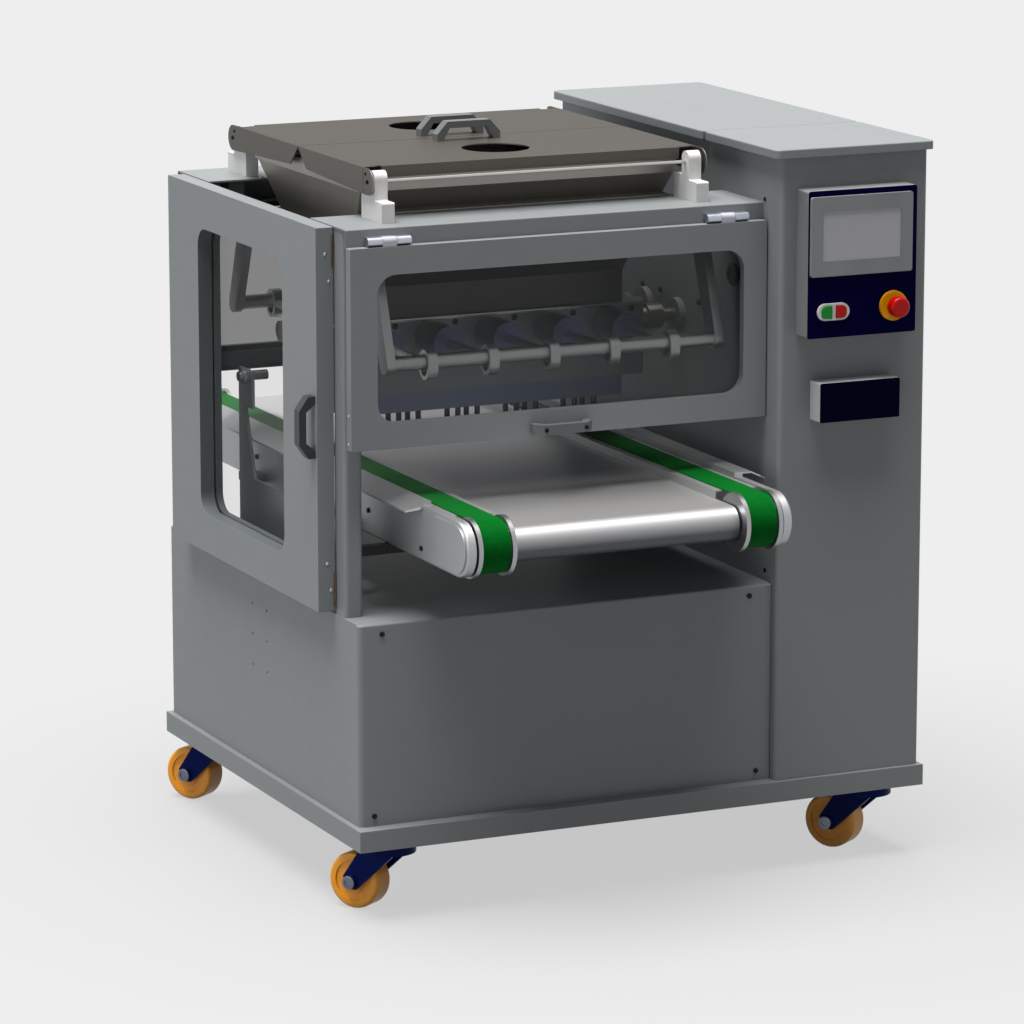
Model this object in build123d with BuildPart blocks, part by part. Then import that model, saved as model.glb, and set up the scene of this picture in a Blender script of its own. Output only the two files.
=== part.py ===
from build123d import *
import os
from math import cos, radians, sin

os.makedirs("parts", exist_ok=True)

# Clearances
running_gap = 0.05          # radial, a shaft in its bearing or a piston in its bore
seat_gap = 0.3              # between faces that turn or slide past each other
door_gap = 3.0              # flap door ends to the tower wall
leaf_gap = 2.0              # between the two leaves of the hopper lid

# Base tray and casters
base_width = 1100.0
base_depth = 932.0
base_height = 38.0
base_clearance = 129.0      # floor to the underside of the base
base_wall = 4.0
base_edge = 1.5
caster_pad = 116.0
caster_inset_x = 82.0
caster_inset_y = 68.0
wheel_diameter = 100.0
wheel_width = 46.0
wheel_edge = 7.0
hub_diameter = 44.0
hub_recess = 3.0
fork_trail = 60.0
fork_plate = 5.0
fork_side_gap = 2.5
crown_diameter = 96.0
crown_height = 20.0
kingpin_diameter = 16.0
kingpin_length = 22.0
axle_diameter = 12.0
axle_head_diameter = 22.0
axle_head = 7.0
caster_turn = 34.0          # how far each caster stands swivelled at rest

# Lower cabinet
sheet = 2.5
cab_left_inset = 10.0
cab_front_inset = 25.0
cab_rear_inset = 5.0
deck_height = 523.0
front_pan_depth = 14.0
front_pan_bend = 9.0
front_pan_lip = 4.0
front_pan_gap = 1.5
cab_flange = 26.0
screw_head_diameter = 9.0
screw_head_height = 2.5
screw_shank_diameter = 5.0
screw_length = 22.0
upper_screw_x = 43.0        # from either end of the front panel
lower_screw_x = 27.0
panel_screw_z = 18.0        # from the front panel's top or bottom edge
vent_hole_diameter = 5.0
vent_pitch_y = 68.0
vent_pitch_z = 56.5
vent_mid_y = 14.0
vent_mid_z = 405.0

# Control cabinet and its lid
tower_inset = 7.0
tower_width = 291.0
tower_depth = 897.0
tower_front_inset = 6.0
tower_bend = 9.0
tower_rise = 100.5          # top of the cabinet lid above the frame top
lid_sheet = 2.5
lid_skirt = 15.0
lid_overhang = 7.0          # at the right and at the rear
lid_overhang_left = 16.0
lid_overhang_front = 13.0
lid_corner = 12.0
lid_seam_y = -191.0
lid_seam = 1.2
louvre_count = 7
louvre_length = 150.0
louvre_height = 8.0
louvre_pitch = 26.0
louvre_mid_z = 420.0
gland_bore = 20.5
gland_diameter = 34.0
gland_length = 16.0
gland_z = 260.0

# Upper frame
frame_top = 1197.5
ledge_reach = 394.0         # front or rear edge of a ledge from the middle plane
ledge_depth = 155.0
ledge_sheet = 3.0
fascia_height = 30.0
post_width = 34.0
post_depth = 48.0
post_inset_x = 2.0
post_inset_y = 16.0
post_corner = 8.0
post_wall = 3.0
cross_bar_depth = 20.0
cross_bar_height = 16.0
cross_bar_inset = 2.0       # bar from the inner face of its post

# Side door
side_door_thick = 31.0
side_door_gap = 1.0
side_door_front = -340.0
side_door_length = 700.0
side_door_lift = 6.0        # door's bottom edge above the deck
side_door_drop = 1.5        # door's top edge below the frame top
side_window_front = 153.0   # from the door's front edge
side_window_rear = 145.0    # from the door's rear edge
side_window_bottom = 71.0   # from the door's bottom edge
side_window_top = 75.0      # from the door's top edge
side_frame_depth = 12.0     # window frame behind the pane
window_corner = 35.0
door_sheet = 2.0
door_edge = 1.5
pane_thick = 5.0
pane_lap = 10.0
frame_width = 14.0          # window frame on the inside of a door
side_handle_length = 108.0
side_handle_reach = 30.0
side_handle_width = 22.0
side_handle_bar = 13.0
side_handle_slope = 24.0
side_handle_y = 18.0        # from the door's front edge
side_handle_z = 322.0       # above the door's bottom edge

# Flap doors
flap_thick = 20.0
flap_gap = 1.0              # ledge fascia to the back of the door
flap_bottom = 820.0
flap_window_left = 49.0     # from the door's left end
flap_window_right = 44.0    # from the door's right end
flap_window_bottom = 45.0   # from the door's bottom edge
flap_window_top = 48.0      # from the door's top edge
flap_handle_length = 112.0
flap_handle_reach = 30.0
flap_handle_width = 17.0
flap_handle_bar = 12.0
flap_handle_slope = 14.0
flap_handle_x = 389.0       # from the door's left end
flap_handle_z = 15.0        # above the door's bottom edge

# Door hinges
hinge_length = 80.0
hinge_leaf = 2.5
flap_leaf_height = 8.0
flap_knuckle_diameter = 16.0
side_leaf_width = 20.0
side_knuckle_diameter = 10.0
hinge_pin_diameter = 5.0
hinge_end_gap = 0.5
hinge_drop = 21.5           # flap hinge line below the frame top
hinge_end_inset = 74.0      # hinge middle from the door's end
side_hinge_inset = 110.0    # hinge middle from the side door's top or bottom
side_hinge_back = 7.0       # hinge line behind the side door's rear edge

# Hopper and its lid
hopper_mid = -146.0         # from the middle of the base
leaf_length = 636.0
leaf_sheet = 2.0
rod_y = 311.0
rod_rise = 66.5             # hinge rods above the frame top
rod_diameter = 6.0
leaf_rise = 23.0            # top of the lid above its hinge rods
leaf_lip = 20.0
leaf_set_back = 19.0        # leaf's outer edge behind its rod
skirt_notch = 36.0
skirt_depth = 36.0          # end skirt's height beside the seam
filler_diameter = 120.0
filler_y = 161.0
filler_x = -10.0            # from the middle of the lid
leaf_handle_length = 122.0
leaf_handle_reach = 34.0
leaf_handle_width = 22.0
leaf_handle_bar = 12.0
leaf_handle_slope = 20.0
leaf_handle_y = 36.0
saddle_thick = 24.0
saddle_gap = 5.5
saddle_length = 88.0
saddle_height = 43.0
saddle_step = 35.0
saddle_step_length = 30.0
saddle_ahead = 44.0         # saddle front end in front of the rod
saddle_upright = 28.0
saddle_crown = 5.0          # middle of the rounded top above the rod
saddle_round = 3.0
notch_gap = 3.0
notch_depth = 12.0
hopper_sheet = 2.0
leaf_side_overhang = 18.0   # lid end beyond the hopper's end
hopper_half_depth = 236.0
hopper_rise = 38.5          # top of the funnel above the frame top
hopper_rim = 27.0
rim_proud = 4.0
hopper_flange_root = 7.0    # flange let into the funnel wall
hopper_flange_reach = 252.0
hopper_flange_inset = 14.0
duct_side = 34.1            # duct end beyond the last piston
duct_half_depth = 86.0
duct_height = 57.0

# Depositing head
head_gap = 86.1             # valve body to the control cabinet
piston_count = 5
piston_pitch = 115.7
body_side = 72.0            # valve body end beyond the last piston
body_half_depth = 96.0
body_bottom = 850.5
body_height = 133.0
spool_y = 66.0
spool_diameter = 36.0
spool_shaft_diameter = 24.0
spool_stub = 35.0
spool_end = 8.0
ring_diameter = 44.0
ring_thick = 5.0
channel_diameter = 16.0
coupling_diameter = 46.0
coupling_length = 30.0
coupling_gap = 17.0
port_diameter = 20.0
outlet_diameter = 14.0
outlet_y = 57.0
cylinder_outer = 60.0
cylinder_bore = 50.0
cylinder_length = 82.0
cylinder_cap = 6.0
piston_rise = 98.0          # piston axis above the underside of the valve body
piston_thick = 20.0
piston_rest = 6.0           # end cap to the piston at rest
rod_eye_wall = 7.0
rod_eye_thick = 18.0
piston_rod_diameter = 16.0
eye_side_gap = 0.8
eye_end_gap = 1.2
bar_y = 351.0
bar_rise = 5.0              # drive bar above the piston axis at rest
bar_diameter = 26.0
pivot_y = 288.0
pivot_below = 72.0          # rocker shafts below the frame top
rocker_shaft_diameter = 20.0
rocker_swing = 14.5
left_arm_gap = 4.1          # middle of the left arm from the valve body's end
right_arm_gap = 70.0        # middle of the right arm from the control cabinet
rocker_stub = 5.0
arm_thick = 16.0
arm_top_radius = 20.0
arm_end_radius = 17.0
pillow_width = 30.0
pillow_depth = 42.0
pillow_below = 22.0
pillow_gap = 8.0
wall_bearing_diameter = 60.0
wall_bearing_thick = 12.0
wall_hole_gap = 2.0
beam_side = 41.1            # beam end beyond the last piston
beam_half_depth = 71.0
beam_height = 40.0
manifold_depth = 16.0
manifold_length = 74.0
manifold_wall = 6.0
manifold_inner = 8.0
nozzle_x = 19.0
nozzle_shift = -12.0        # middle of a nozzle pair from its piston
nozzle_y = 24.0
nozzle_outer = 10.0
nozzle_bore = 6.0
nozzle_length = 34.0
nozzle_seat = 8.0
drive_width = 84.0
drive_beam_end = 32.0       # gear case beyond the rocker shafts
drive_beam_height = 90.0
drive_case_side = 44.0      # gear case beyond the spool shafts
drive_below = 53.0          # gear case below the spool shafts
drive_above = 50.0          # gear case above the rocker shafts
drive_edge = 10.0
shaft_engagement = 46.0
motor_diameter = 130.0
motor_length = 150.0
motor_drop = 20.0           # motor below the middle of the gear case

# Conveyor
conveyor_mid = -140.0       # from the middle of the base
roller_y = 635.0
roller_z = 687.0
belt_offset = 250.0
belt_width = 52.0
belt_thick = 2.0
pulley_diameter = 88.0
pulley_flange_diameter = 103.0
pulley_flange = 8.0
pulley_side_gap = 1.0
conveyor_shaft_diameter = 25.0
shaft_socket = 11.0
plate_gap = 3.0
plate_thick = 16.0
plate_half_height = 48.0
plate_edge = 4.0
plate_cover = 2.5
plate_cover_inset = 7.0
plate_cover_length = 86.0
plate_screw_inner = (261.0, -5.0)       # along the plate, and above the roller axis
plate_screw_outer = (490.0, -27.0)
plate_screw_length = 10.0
nose_radius = 30.0
bed_sheet = 2.0
bed_gap = 3.0
bed_side_end = 575.0
nose_return = 60.0
drum_diameter = 44.0
guide_half_length = 495.0
guide_sheet = 3.0
guide_rise = 54.5           # top of the tray guides above the roller axis
guide_drop = 17.5
guide_wing = 38.0
guide_web_left = 2.0        # level part of the guide before it slopes down
guide_web_right = 33.0
guide_root = 12.0
guide_chamfer = 20.0
sensor_y = 240.0
sensor_rise = 151.0         # above the roller axis
sensor_diameter = 18.0
sensor_length = 56.0
sensor_inset = 11.0         # barrel end outside its plate
sensor_plate = 6.0
sensor_plate_rear = 266.0
sensor_plate_length = 466.0
sensor_pad_height = 16.0    # from the cross bars to the plate's shoulder
sensor_root_width = 71.0    # upright where it leaves the plate
sensor_neck_width = 28.0    # upright below its head
sensor_head_width = 64.0
sensor_head_height = 69.0
sensor_standoff = 26.0
sensor_pad = 40.0
sensor_above = 14.0
sensor_nut_diameter = 27.0
sensor_nut = 5.0

# Controls on the tower front
control_left = 32.0         # from the tower's left wall
control_width = 214.0
control_drop = 71.0         # top of the control box below the top of the cabinet
control_height = 259.0
control_depth = 43.0
control_edge = 4.0
control_wall = 3.0
hmi_width = 200.0
hmi_height = 140.0
hmi_depth = 6.0
hmi_x = 3.0                 # bezel from the control box's left edge
hmi_z = 109.0               # bezel from the control box's bottom edge
screen_width = 154.0
screen_height = 86.0
screen_recess = 2.0
screen_thick = 1.2
button_x = 49.0
button_z = 46.0
pill_width = 62.0
pill_height = 30.0
pill_thick = 5.0
button_width = 20.5
button_height = 22.5
button_round = 9.0
button_edge = 1.0
button_spacing = 28.5
button_proud = 3.5
button_gap = 0.25
button_stop_reach = 2.0
button_stop = 2.2
estop_x = 168.0
estop_z = 49.0
estop_collar_diameter = 53.0
estop_collar_thick = 6.0
estop_head_diameter = 37.0
estop_head_length = 18.0
estop_stem_diameter = 22.0
estop_stem_proud = 9.0
estop_stem_inside = 12.0
estop_stop_diameter = 27.0
estop_head_edge = 6.0
nameplate_left = 62.0       # from the tower's left wall
nameplate_width = 158.0
nameplate_height = 70.0
nameplate_depth = 38.0
nameplate_gap = 82.0        # below the control box
nameplate_edge = 3.0

# Places worked out from the sizes above
left_overhang = side_door_gap + side_door_thick + side_handle_reach - cab_left_inset
mid_x = left_overhang / 2
base_left = mid_x - base_width / 2
base_right = mid_x + base_width / 2
base_front = -base_depth / 2
base_rear = base_depth / 2
base_top = base_clearance + base_height
cab_left = base_left + cab_left_inset
cab_front = base_front + cab_front_inset
cab_rear = base_rear - cab_rear_inset
pan_back = cab_front + front_pan_depth
tower_right = base_right - tower_inset
tower_left = tower_right - tower_width
tower_front = base_front + tower_front_inset
tower_rear = tower_front + tower_depth
machine_top = frame_top + tower_rise
tower_top = machine_top - lid_sheet
ledge_under = frame_top - ledge_sheet
ledge_inner = ledge_reach - ledge_depth
fascia_bottom = frame_top - fascia_height
side_inner = cab_left - side_door_gap
side_outer = side_inner - side_door_thick
side_door_rear = side_door_front + side_door_length
side_door_bottom = deck_height + side_door_lift
side_door_top = frame_top - side_door_drop
flap_left = cab_left
flap_right = tower_left - door_gap
flap_back = ledge_reach + flap_gap
flap_face = flap_back + flap_thick
hinge_axis_z = frame_top - hinge_drop
hinge_axis_y = ledge_reach + hinge_leaf + flap_knuckle_diameter / 2 + hinge_end_gap
flap_top = hinge_axis_z - flap_knuckle_diameter / 2 - hinge_end_gap
hopper_x = mid_x + hopper_mid
leaf_left = hopper_x - leaf_length / 2
leaf_right = hopper_x + leaf_length / 2
rod_z = frame_top + rod_rise
leaf_top = rod_z + leaf_rise
hopper_length = leaf_length - 2 * leaf_side_overhang
hopper_rim_z = frame_top + hopper_rise
piston_span = (piston_count - 1) * piston_pitch
body_right = tower_left - head_gap
body_left = body_right - piston_span - 2 * body_side
head_x = (body_left + body_right) / 2
piston_x = [body_left + body_side + i * piston_pitch for i in range(piston_count)]
body_top = body_bottom + body_height
duct_top = body_top + duct_height
duct_length = piston_span + 2 * duct_side
beam_length = piston_span + 2 * beam_side
beam_bottom = body_bottom - beam_height
piston_z = body_bottom + piston_rise
bar_z = piston_z + bar_rise
pivot_z = frame_top - pivot_below
arm_run = bar_y - pivot_y
arm_drop = pivot_z - bar_z
swing = radians(rocker_swing)
bar_fall = arm_run * sin(swing) + arm_drop * cos(swing) - arm_drop
conveyor_x = mid_x + conveyor_mid
belt_inner_radius = pulley_diameter / 2 + seat_gap
belt_outer_radius = belt_inner_radius + belt_thick
pulley_half = belt_width / 2 + pulley_side_gap + pulley_flange
plate_inner = belt_offset + pulley_half + plate_gap
plate_outer = plate_inner + plate_thick
bed_half = belt_offset - pulley_half - bed_gap
bed_top = roller_z + nose_radius
slider_top = roller_z + pulley_diameter / 2
guide_top = roller_z + guide_rise
sensor_z = roller_z + sensor_rise
control_bottom = machine_top - control_drop - control_height
nameplate_bottom = control_bottom - nameplate_gap - nameplate_height
control_x = tower_left + control_left
control_face = tower_front - control_depth
both_sides = (-1, 1)


def save(builder, label, *more):
    """Write one node; pieces that are only laid against each other come as builders of their own."""
    pieces = [one.part for one in (builder, *more)]
    whole = Compound(pieces) if more else builder.part
    whole.label = label
    export_step(whole, f"parts/{label}.step")


def block(low, high, mode=Mode.ADD):
    """Box between two opposite corners, given in any order."""
    middle = [(a + b) / 2 for a, b in zip(low, high)]
    size = [abs(b - a) for a, b in zip(low, high)]
    with Locations(tuple(middle)):
        Box(*size, mode=mode)


def bent_block(low, high, which, radius, mode=Mode.ADD):
    """Box with one of its two left upright edges rounded: 0 is the front one, -1 the rear one."""
    with BuildSketch(Plane.XY.offset(low[2])) as outline:
        with Locations(((low[0] + high[0]) / 2, (low[1] + high[1]) / 2)):
            Rectangle(high[0] - low[0], high[1] - low[1])
        fillet(outline.vertices().sort_by(Axis.X)[:2].sort_by(Axis.Y)[which], radius)
    extrude(outline.sketch, amount=high[2] - low[2], mode=mode)


def rod_along_x(x0, x1, y, z, diameter, mode=Mode.ADD):
    with Locations(Location(((x0 + x1) / 2, y, z), (0, 90, 0))):
        Cylinder(diameter / 2, abs(x1 - x0), mode=mode)


def rod_along_y(x, y0, y1, z, diameter, mode=Mode.ADD):
    with Locations(Location((x, (y0 + y1) / 2, z), (90, 0, 0))):
        Cylinder(diameter / 2, abs(y1 - y0), mode=mode)


def rod_along_z(x, y, z0, z1, diameter, mode=Mode.ADD):
    with Locations((x, y, (z0 + z1) / 2)):
        Cylinder(diameter / 2, abs(z1 - z0), mode=mode)


def bridge_handle(plane, length, reach, width, bar, slope):
    """Angular bridge handle: its feet stand on the plane, along the plane's X direction."""
    half = length / 2
    with BuildSketch(plane) as outline:
        with BuildLine():
            Polyline(
                (-half, 0),
                (-half, bar),
                (-half + slope, reach),
                (half - slope, reach),
                (half, bar),
                (half, 0),
                (half - bar, 0),
                (half - bar - slope * 0.6, reach - bar),
                (-half + bar + slope * 0.6, reach - bar),
                (-half + bar, 0),
                close=True,
            )
        make_face()
    extrude(outline.sketch, amount=width / 2, both=True)


# Base tray: inverted pan with a solid welded pad over each caster
caster_points = [
    (base_left + caster_inset_x, base_front + caster_inset_y, "front_left"),
    (base_right - caster_inset_x, base_front + caster_inset_y, "front_right"),
    (base_left + caster_inset_x, base_rear - caster_inset_y, "rear_left"),
    (base_right - caster_inset_x, base_rear - caster_inset_y, "rear_right"),
]
with BuildPart() as base_tray:
    block((base_left, base_front, base_clearance), (base_right, base_rear, base_top))
    fillet(base_tray.edges().group_by(Axis.Z)[-1], base_edge)
    block(
        (base_left + base_wall, base_front + base_wall, base_clearance),
        (base_right - base_wall, base_rear - base_wall, base_top - base_wall),
        mode=Mode.SUBTRACT,
    )
    for pad_x, pad_y, _ in caster_points:
        block(
            (pad_x - caster_pad / 2, pad_y - caster_pad / 2, base_clearance),
            (pad_x + caster_pad / 2, pad_y + caster_pad / 2, base_top - base_wall),
        )
    for pad_x, pad_y, _ in caster_points:
        rod_along_z(pad_x, pad_y, base_clearance, base_clearance + kingpin_length + seat_gap,
                    kingpin_diameter + 2 * running_gap, Mode.SUBTRACT)
save(base_tray, "base_tray")

# Casters: each fork carries its kingpin and axle bolt, each wheel turns on the bolt
crown_top = base_clearance - seat_gap
leg_inner = wheel_width / 2 + fork_side_gap
leg_outer = leg_inner + fork_plate
axle_z = wheel_diameter / 2
for swivel_x, swivel_y, corner in caster_points:
    across = (cos(radians(caster_turn)), sin(radians(caster_turn)), 0)
    upright = Plane(origin=(swivel_x, swivel_y, 0), x_dir=across, z_dir=(0, 0, 1))
    trail = upright.y_dir * fork_trail
    axle_middle = upright.origin + trail + Vector(0, 0, axle_z)
    axle_plane = Plane(origin=axle_middle, x_dir=upright.y_dir, z_dir=across)
    side_plane = Plane(origin=upright.origin, x_dir=upright.y_dir, z_dir=across)

    with BuildPart() as fork:
        with BuildSketch(upright.offset(crown_top)):
            Circle(crown_diameter / 2)
        extrude(amount=-crown_height)
        for side in both_sides:
            with BuildSketch(side_plane.offset(side * leg_inner)):
                with BuildLine():
                    Polyline(
                        (-crown_diameter * 0.3, crown_top),
                        (crown_diameter * 0.3, crown_top),
                        (fork_trail + axle_head_diameter * 0.7, axle_z + axle_head_diameter * 0.4),
                        (fork_trail + axle_head_diameter * 0.5, axle_z - axle_head_diameter * 0.6),
                        (fork_trail - axle_head_diameter * 0.5, axle_z - axle_head_diameter * 0.6),
                        (-crown_diameter * 0.3, crown_top - crown_height),
                        close=True,
                    )
                make_face()
            extrude(amount=side * fork_plate)
        with BuildSketch(upright.offset(crown_top)):
            Circle(kingpin_diameter / 2)
        extrude(amount=kingpin_length)
        with BuildSketch(axle_plane.offset(-leg_outer)):
            Circle(axle_diameter / 2)
        extrude(amount=2 * leg_outer)
        for side in both_sides:
            with BuildSketch(axle_plane.offset(side * leg_outer)):
                Circle(axle_head_diameter / 2)
            extrude(amount=side * axle_head)
    save(fork, f"caster_fork_{corner}")

    with BuildPart() as wheel:
        with BuildSketch(axle_plane.offset(-wheel_width / 2)):
            Circle(wheel_diameter / 2)
        extrude(amount=wheel_width)
        fillet(wheel.edges(), wheel_edge)
        for side in both_sides:
            with BuildSketch(axle_plane.offset(side * wheel_width / 2)):
                Circle(wheel_diameter / 2 - 2 * wheel_edge)
                Circle(hub_diameter / 2, mode=Mode.SUBTRACT)
            extrude(amount=-side * hub_recess, mode=Mode.SUBTRACT)
        with BuildSketch(axle_plane.offset(-wheel_width / 2)):
            Circle(axle_diameter / 2 + running_gap)
        extrude(amount=wheel_width, mode=Mode.SUBTRACT)
    save(wheel, f"caster_wheel_{corner}")

# Lower cabinet: left and rear wall with a rounded corner strip, a frame for the front panel, a deck on top
pan_right = tower_left - front_pan_gap
panel_screw_spots = [
    (cab_left + upper_screw_x, deck_height - panel_screw_z),
    (pan_right - upper_screw_x, deck_height - panel_screw_z),
    (cab_left + lower_screw_x, base_top + panel_screw_z),
    (pan_right - lower_screw_x, base_top + panel_screw_z),
]
deck_under = deck_height - sheet
bend_x = cab_left + front_pan_bend
bend_y = cab_rear - front_pan_bend
with BuildPart() as cabinet_walls:
    block((cab_left, pan_back + sheet, base_top), (cab_left + sheet, bend_y, deck_under))
    block((bend_x, cab_rear - sheet, base_top), (tower_left, cab_rear, deck_under))
    for column in both_sides:
        for row in (-1, 0, 1):
            rod_along_x(cab_left, cab_left + sheet, vent_mid_y + column * vent_pitch_y / 2,
                        vent_mid_z + row * vent_pitch_z, vent_hole_diameter, Mode.SUBTRACT)
with BuildPart() as corner_strip:
    with BuildSketch(Plane.XY.offset(base_top)):
        with Locations((bend_x, bend_y)):
            Circle(front_pan_bend)
            Circle(front_pan_bend - sheet, mode=Mode.SUBTRACT)
            Rectangle(front_pan_bend, front_pan_bend, align=(Align.MAX, Align.MIN), mode=Mode.INTERSECT)
    extrude(amount=deck_under - base_top)
with BuildPart() as panel_frame:
    block((cab_left, pan_back, base_top), (tower_left, pan_back + sheet, deck_under))
    block(
        (cab_left + cab_flange, pan_back, base_top + cab_flange),
        (tower_left - cab_flange, pan_back + sheet, deck_height - cab_flange),
        mode=Mode.SUBTRACT,
    )
    for screw_x, screw_z in panel_screw_spots:
        rod_along_y(screw_x, pan_back, pan_back + sheet, screw_z, screw_shank_diameter, Mode.SUBTRACT)
with BuildPart() as deck:
    bent_block((cab_left, pan_back, deck_under), (tower_left, cab_rear, deck_height), -1, front_pan_bend)
save(cabinet_walls, "lower_cabinet", corner_strip, panel_frame, deck)

# Lower front panel: shallow folded pan with a rounded left edge and a bent top lip
with BuildPart() as lower_front_panel:
    bent_block((cab_left, cab_front, base_top), (pan_right, pan_back, deck_height), 0, front_pan_bend)
    fillet(lower_front_panel.edges().filter_by(Axis.X).group_by(Axis.Z)[-1].sort_by(Axis.Y)[0], front_pan_lip)
    bent_block(
        (cab_left + sheet, cab_front + sheet, base_top),
        (pan_right - sheet, pan_back, deck_height - sheet),
        0, front_pan_bend - sheet, Mode.SUBTRACT,
    )
    for screw_x, screw_z in panel_screw_spots:
        rod_along_y(screw_x, cab_front, cab_front + sheet, screw_z, screw_shank_diameter, Mode.SUBTRACT)
save(lower_front_panel, "lower_front_panel")

# Control cabinet: tall shell open at the top, with louvres and a cable gland at the rear
rocker_spots = [(side * pivot_y, pivot_z, rocker_shaft_diameter) for side in both_sides]
spool_spots = [(side * spool_y, piston_z, spool_shaft_diameter) for side in both_sides]
with BuildPart() as tower_cabinet:
    block((tower_left, tower_front, base_top), (tower_right, tower_rear, tower_top))
    fillet(tower_cabinet.edges().filter_by(Axis.Z), tower_bend)
    with BuildSketch(Plane.XY.offset(base_top)):
        with Locations(((tower_left + tower_right) / 2, (tower_front + tower_rear) / 2)):
            RectangleRounded(tower_width - 2 * sheet, tower_depth - 2 * sheet, tower_bend - sheet)
    extrude(amount=tower_top - base_top, mode=Mode.SUBTRACT)
    for hole_y, hole_z, hole_diameter in rocker_spots + spool_spots:
        rod_along_x(tower_left, tower_left + sheet, hole_y, hole_z,
                    hole_diameter + 2 * wall_hole_gap, Mode.SUBTRACT)
    louvre_x = (tower_left + tower_right) / 2
    for i in range(louvre_count):
        louvre_z = louvre_mid_z + (i - (louvre_count - 1) / 2) * louvre_pitch
        block(
            (louvre_x - louvre_length / 2, tower_rear - sheet, louvre_z - louvre_height / 2),
            (louvre_x + louvre_length / 2, tower_rear, louvre_z + louvre_height / 2),
            mode=Mode.SUBTRACT,
        )
    rod_along_y(louvre_x, tower_rear - sheet, tower_rear + gland_length, gland_z, gland_diameter)
    rod_along_y(louvre_x, tower_rear - sheet, tower_rear + gland_length, gland_z, gland_bore, Mode.SUBTRACT)
save(tower_cabinet, "tower_cabinet")

# Cabinet lid: a front and a rear pan that meet at a seam
lid_low_x = tower_left - lid_overhang_left
lid_high_x = tower_right + lid_overhang
lid_low_y = tower_front - lid_overhang_front
lid_high_y = tower_rear + lid_overhang
lid_middle_x = (lid_low_x + lid_high_x) / 2
lid_middle = (lid_middle_x, (lid_low_y + lid_high_y) / 2)
lid_pans = [(lid_low_y, lid_seam_y - lid_seam / 2), (lid_seam_y + lid_seam / 2, lid_high_y)]
with BuildPart() as tower_lids:
    for pan_front, pan_rear in lid_pans:
        with BuildSketch(Plane.XY.offset(machine_top - lid_skirt)):
            with Locations((lid_middle_x, (pan_front + pan_rear) / 2)):
                RectangleRounded(lid_high_x - lid_low_x, pan_rear - pan_front, lid_corner)
        extrude(amount=lid_skirt)
    fillet(tower_lids.edges().group_by(Axis.Z)[-1], lid_sheet)
    with BuildSketch(Plane.XY.offset(machine_top - lid_skirt)):
        with Locations(lid_middle):
            RectangleRounded(lid_high_x - lid_low_x - 2 * lid_sheet,
                             lid_high_y - lid_low_y - 2 * lid_sheet, lid_corner - lid_sheet)
    extrude(amount=lid_skirt - lid_sheet, mode=Mode.SUBTRACT)
save(tower_lids, "tower_lids")

# Corner posts: a rounded tube at each left corner, and cross bars under the conveyor to the cabinet
post_left = cab_left + post_inset_x
post_right = post_left + post_width
post_outer = ledge_reach - post_inset_y
cross_bar_inner = post_outer - post_depth + cross_bar_inset
cross_bar_top = roller_z - plate_half_height
plate_face = conveyor_x - plate_outer
with BuildPart() as corner_posts:
    for side, bar_left in ((-1, post_right), (1, plate_face)):
        with BuildSketch(Plane.XY.offset(deck_height)):
            with Locations(((post_left + post_right) / 2, side * (post_outer - post_depth / 2))):
                RectangleRounded(post_width, post_depth, post_corner)
                RectangleRounded(post_width - 2 * post_wall, post_depth - 2 * post_wall,
                                 post_corner - post_wall, mode=Mode.SUBTRACT)
        extrude(amount=ledge_under - deck_height)
        block((bar_left, side * cross_bar_inner, cross_bar_top - cross_bar_height),
              (tower_left, side * (cross_bar_inner + cross_bar_depth), cross_bar_top))
save(corner_posts, "corner_posts")

# Top ledges: folded sheets with a fascia along the outer edge
with BuildPart() as top_ledges:
    for side in both_sides:
        block((cab_left, side * ledge_inner, ledge_under), (tower_left, side * ledge_reach, frame_top))
        block((cab_left, side * (ledge_reach - ledge_sheet), fascia_bottom),
              (tower_left, side * ledge_reach, frame_top))
    outer_edges = top_ledges.edges().filter_by(Axis.X).group_by(Axis.Z)[-1].sort_by(Axis.Y)
    fillet([outer_edges[0], outer_edges[-1]], ledge_sheet * 0.8)
save(top_ledges, "top_ledges")


def door_pan(plane, width, height, window, thick):
    """Folded door pan on a plane at its outer face, with a framed window and a seat for its pane.

    The plane's Z direction points inwards; window is (x, y, width, height) from the pan's middle.
    """
    window_x, window_y, window_width, window_height = window
    with BuildSketch(plane) as face:
        RectangleRounded(width, height, door_edge)
        with Locations((window_x, window_y)):
            RectangleRounded(window_width, window_height, window_corner, mode=Mode.SUBTRACT)
    extrude(face.sketch, amount=thick)
    with BuildSketch(plane.offset(door_sheet)) as hollow:
        Rectangle(width - 2 * door_sheet, height - 2 * door_sheet)
        with Locations((window_x, window_y)):
            RectangleRounded(window_width + 2 * frame_width, window_height + 2 * frame_width,
                             window_corner + frame_width, mode=Mode.SUBTRACT)
    extrude(hollow.sketch, amount=thick - door_sheet, mode=Mode.SUBTRACT)
    door_pane(plane, window, thick, Mode.SUBTRACT)


def door_pane(plane, window, thick, mode=Mode.ADD):
    """Glazing let into the window frame, flush with the pan's back."""
    window_x, window_y, window_width, window_height = window
    with BuildSketch(plane.offset(thick - pane_thick)) as glazing:
        with Locations((window_x, window_y)):
            RectangleRounded(window_width + 2 * pane_lap, window_height + 2 * pane_lap,
                             window_corner + pane_lap)
    extrude(glazing.sketch, amount=pane_thick, mode=mode)


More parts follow.
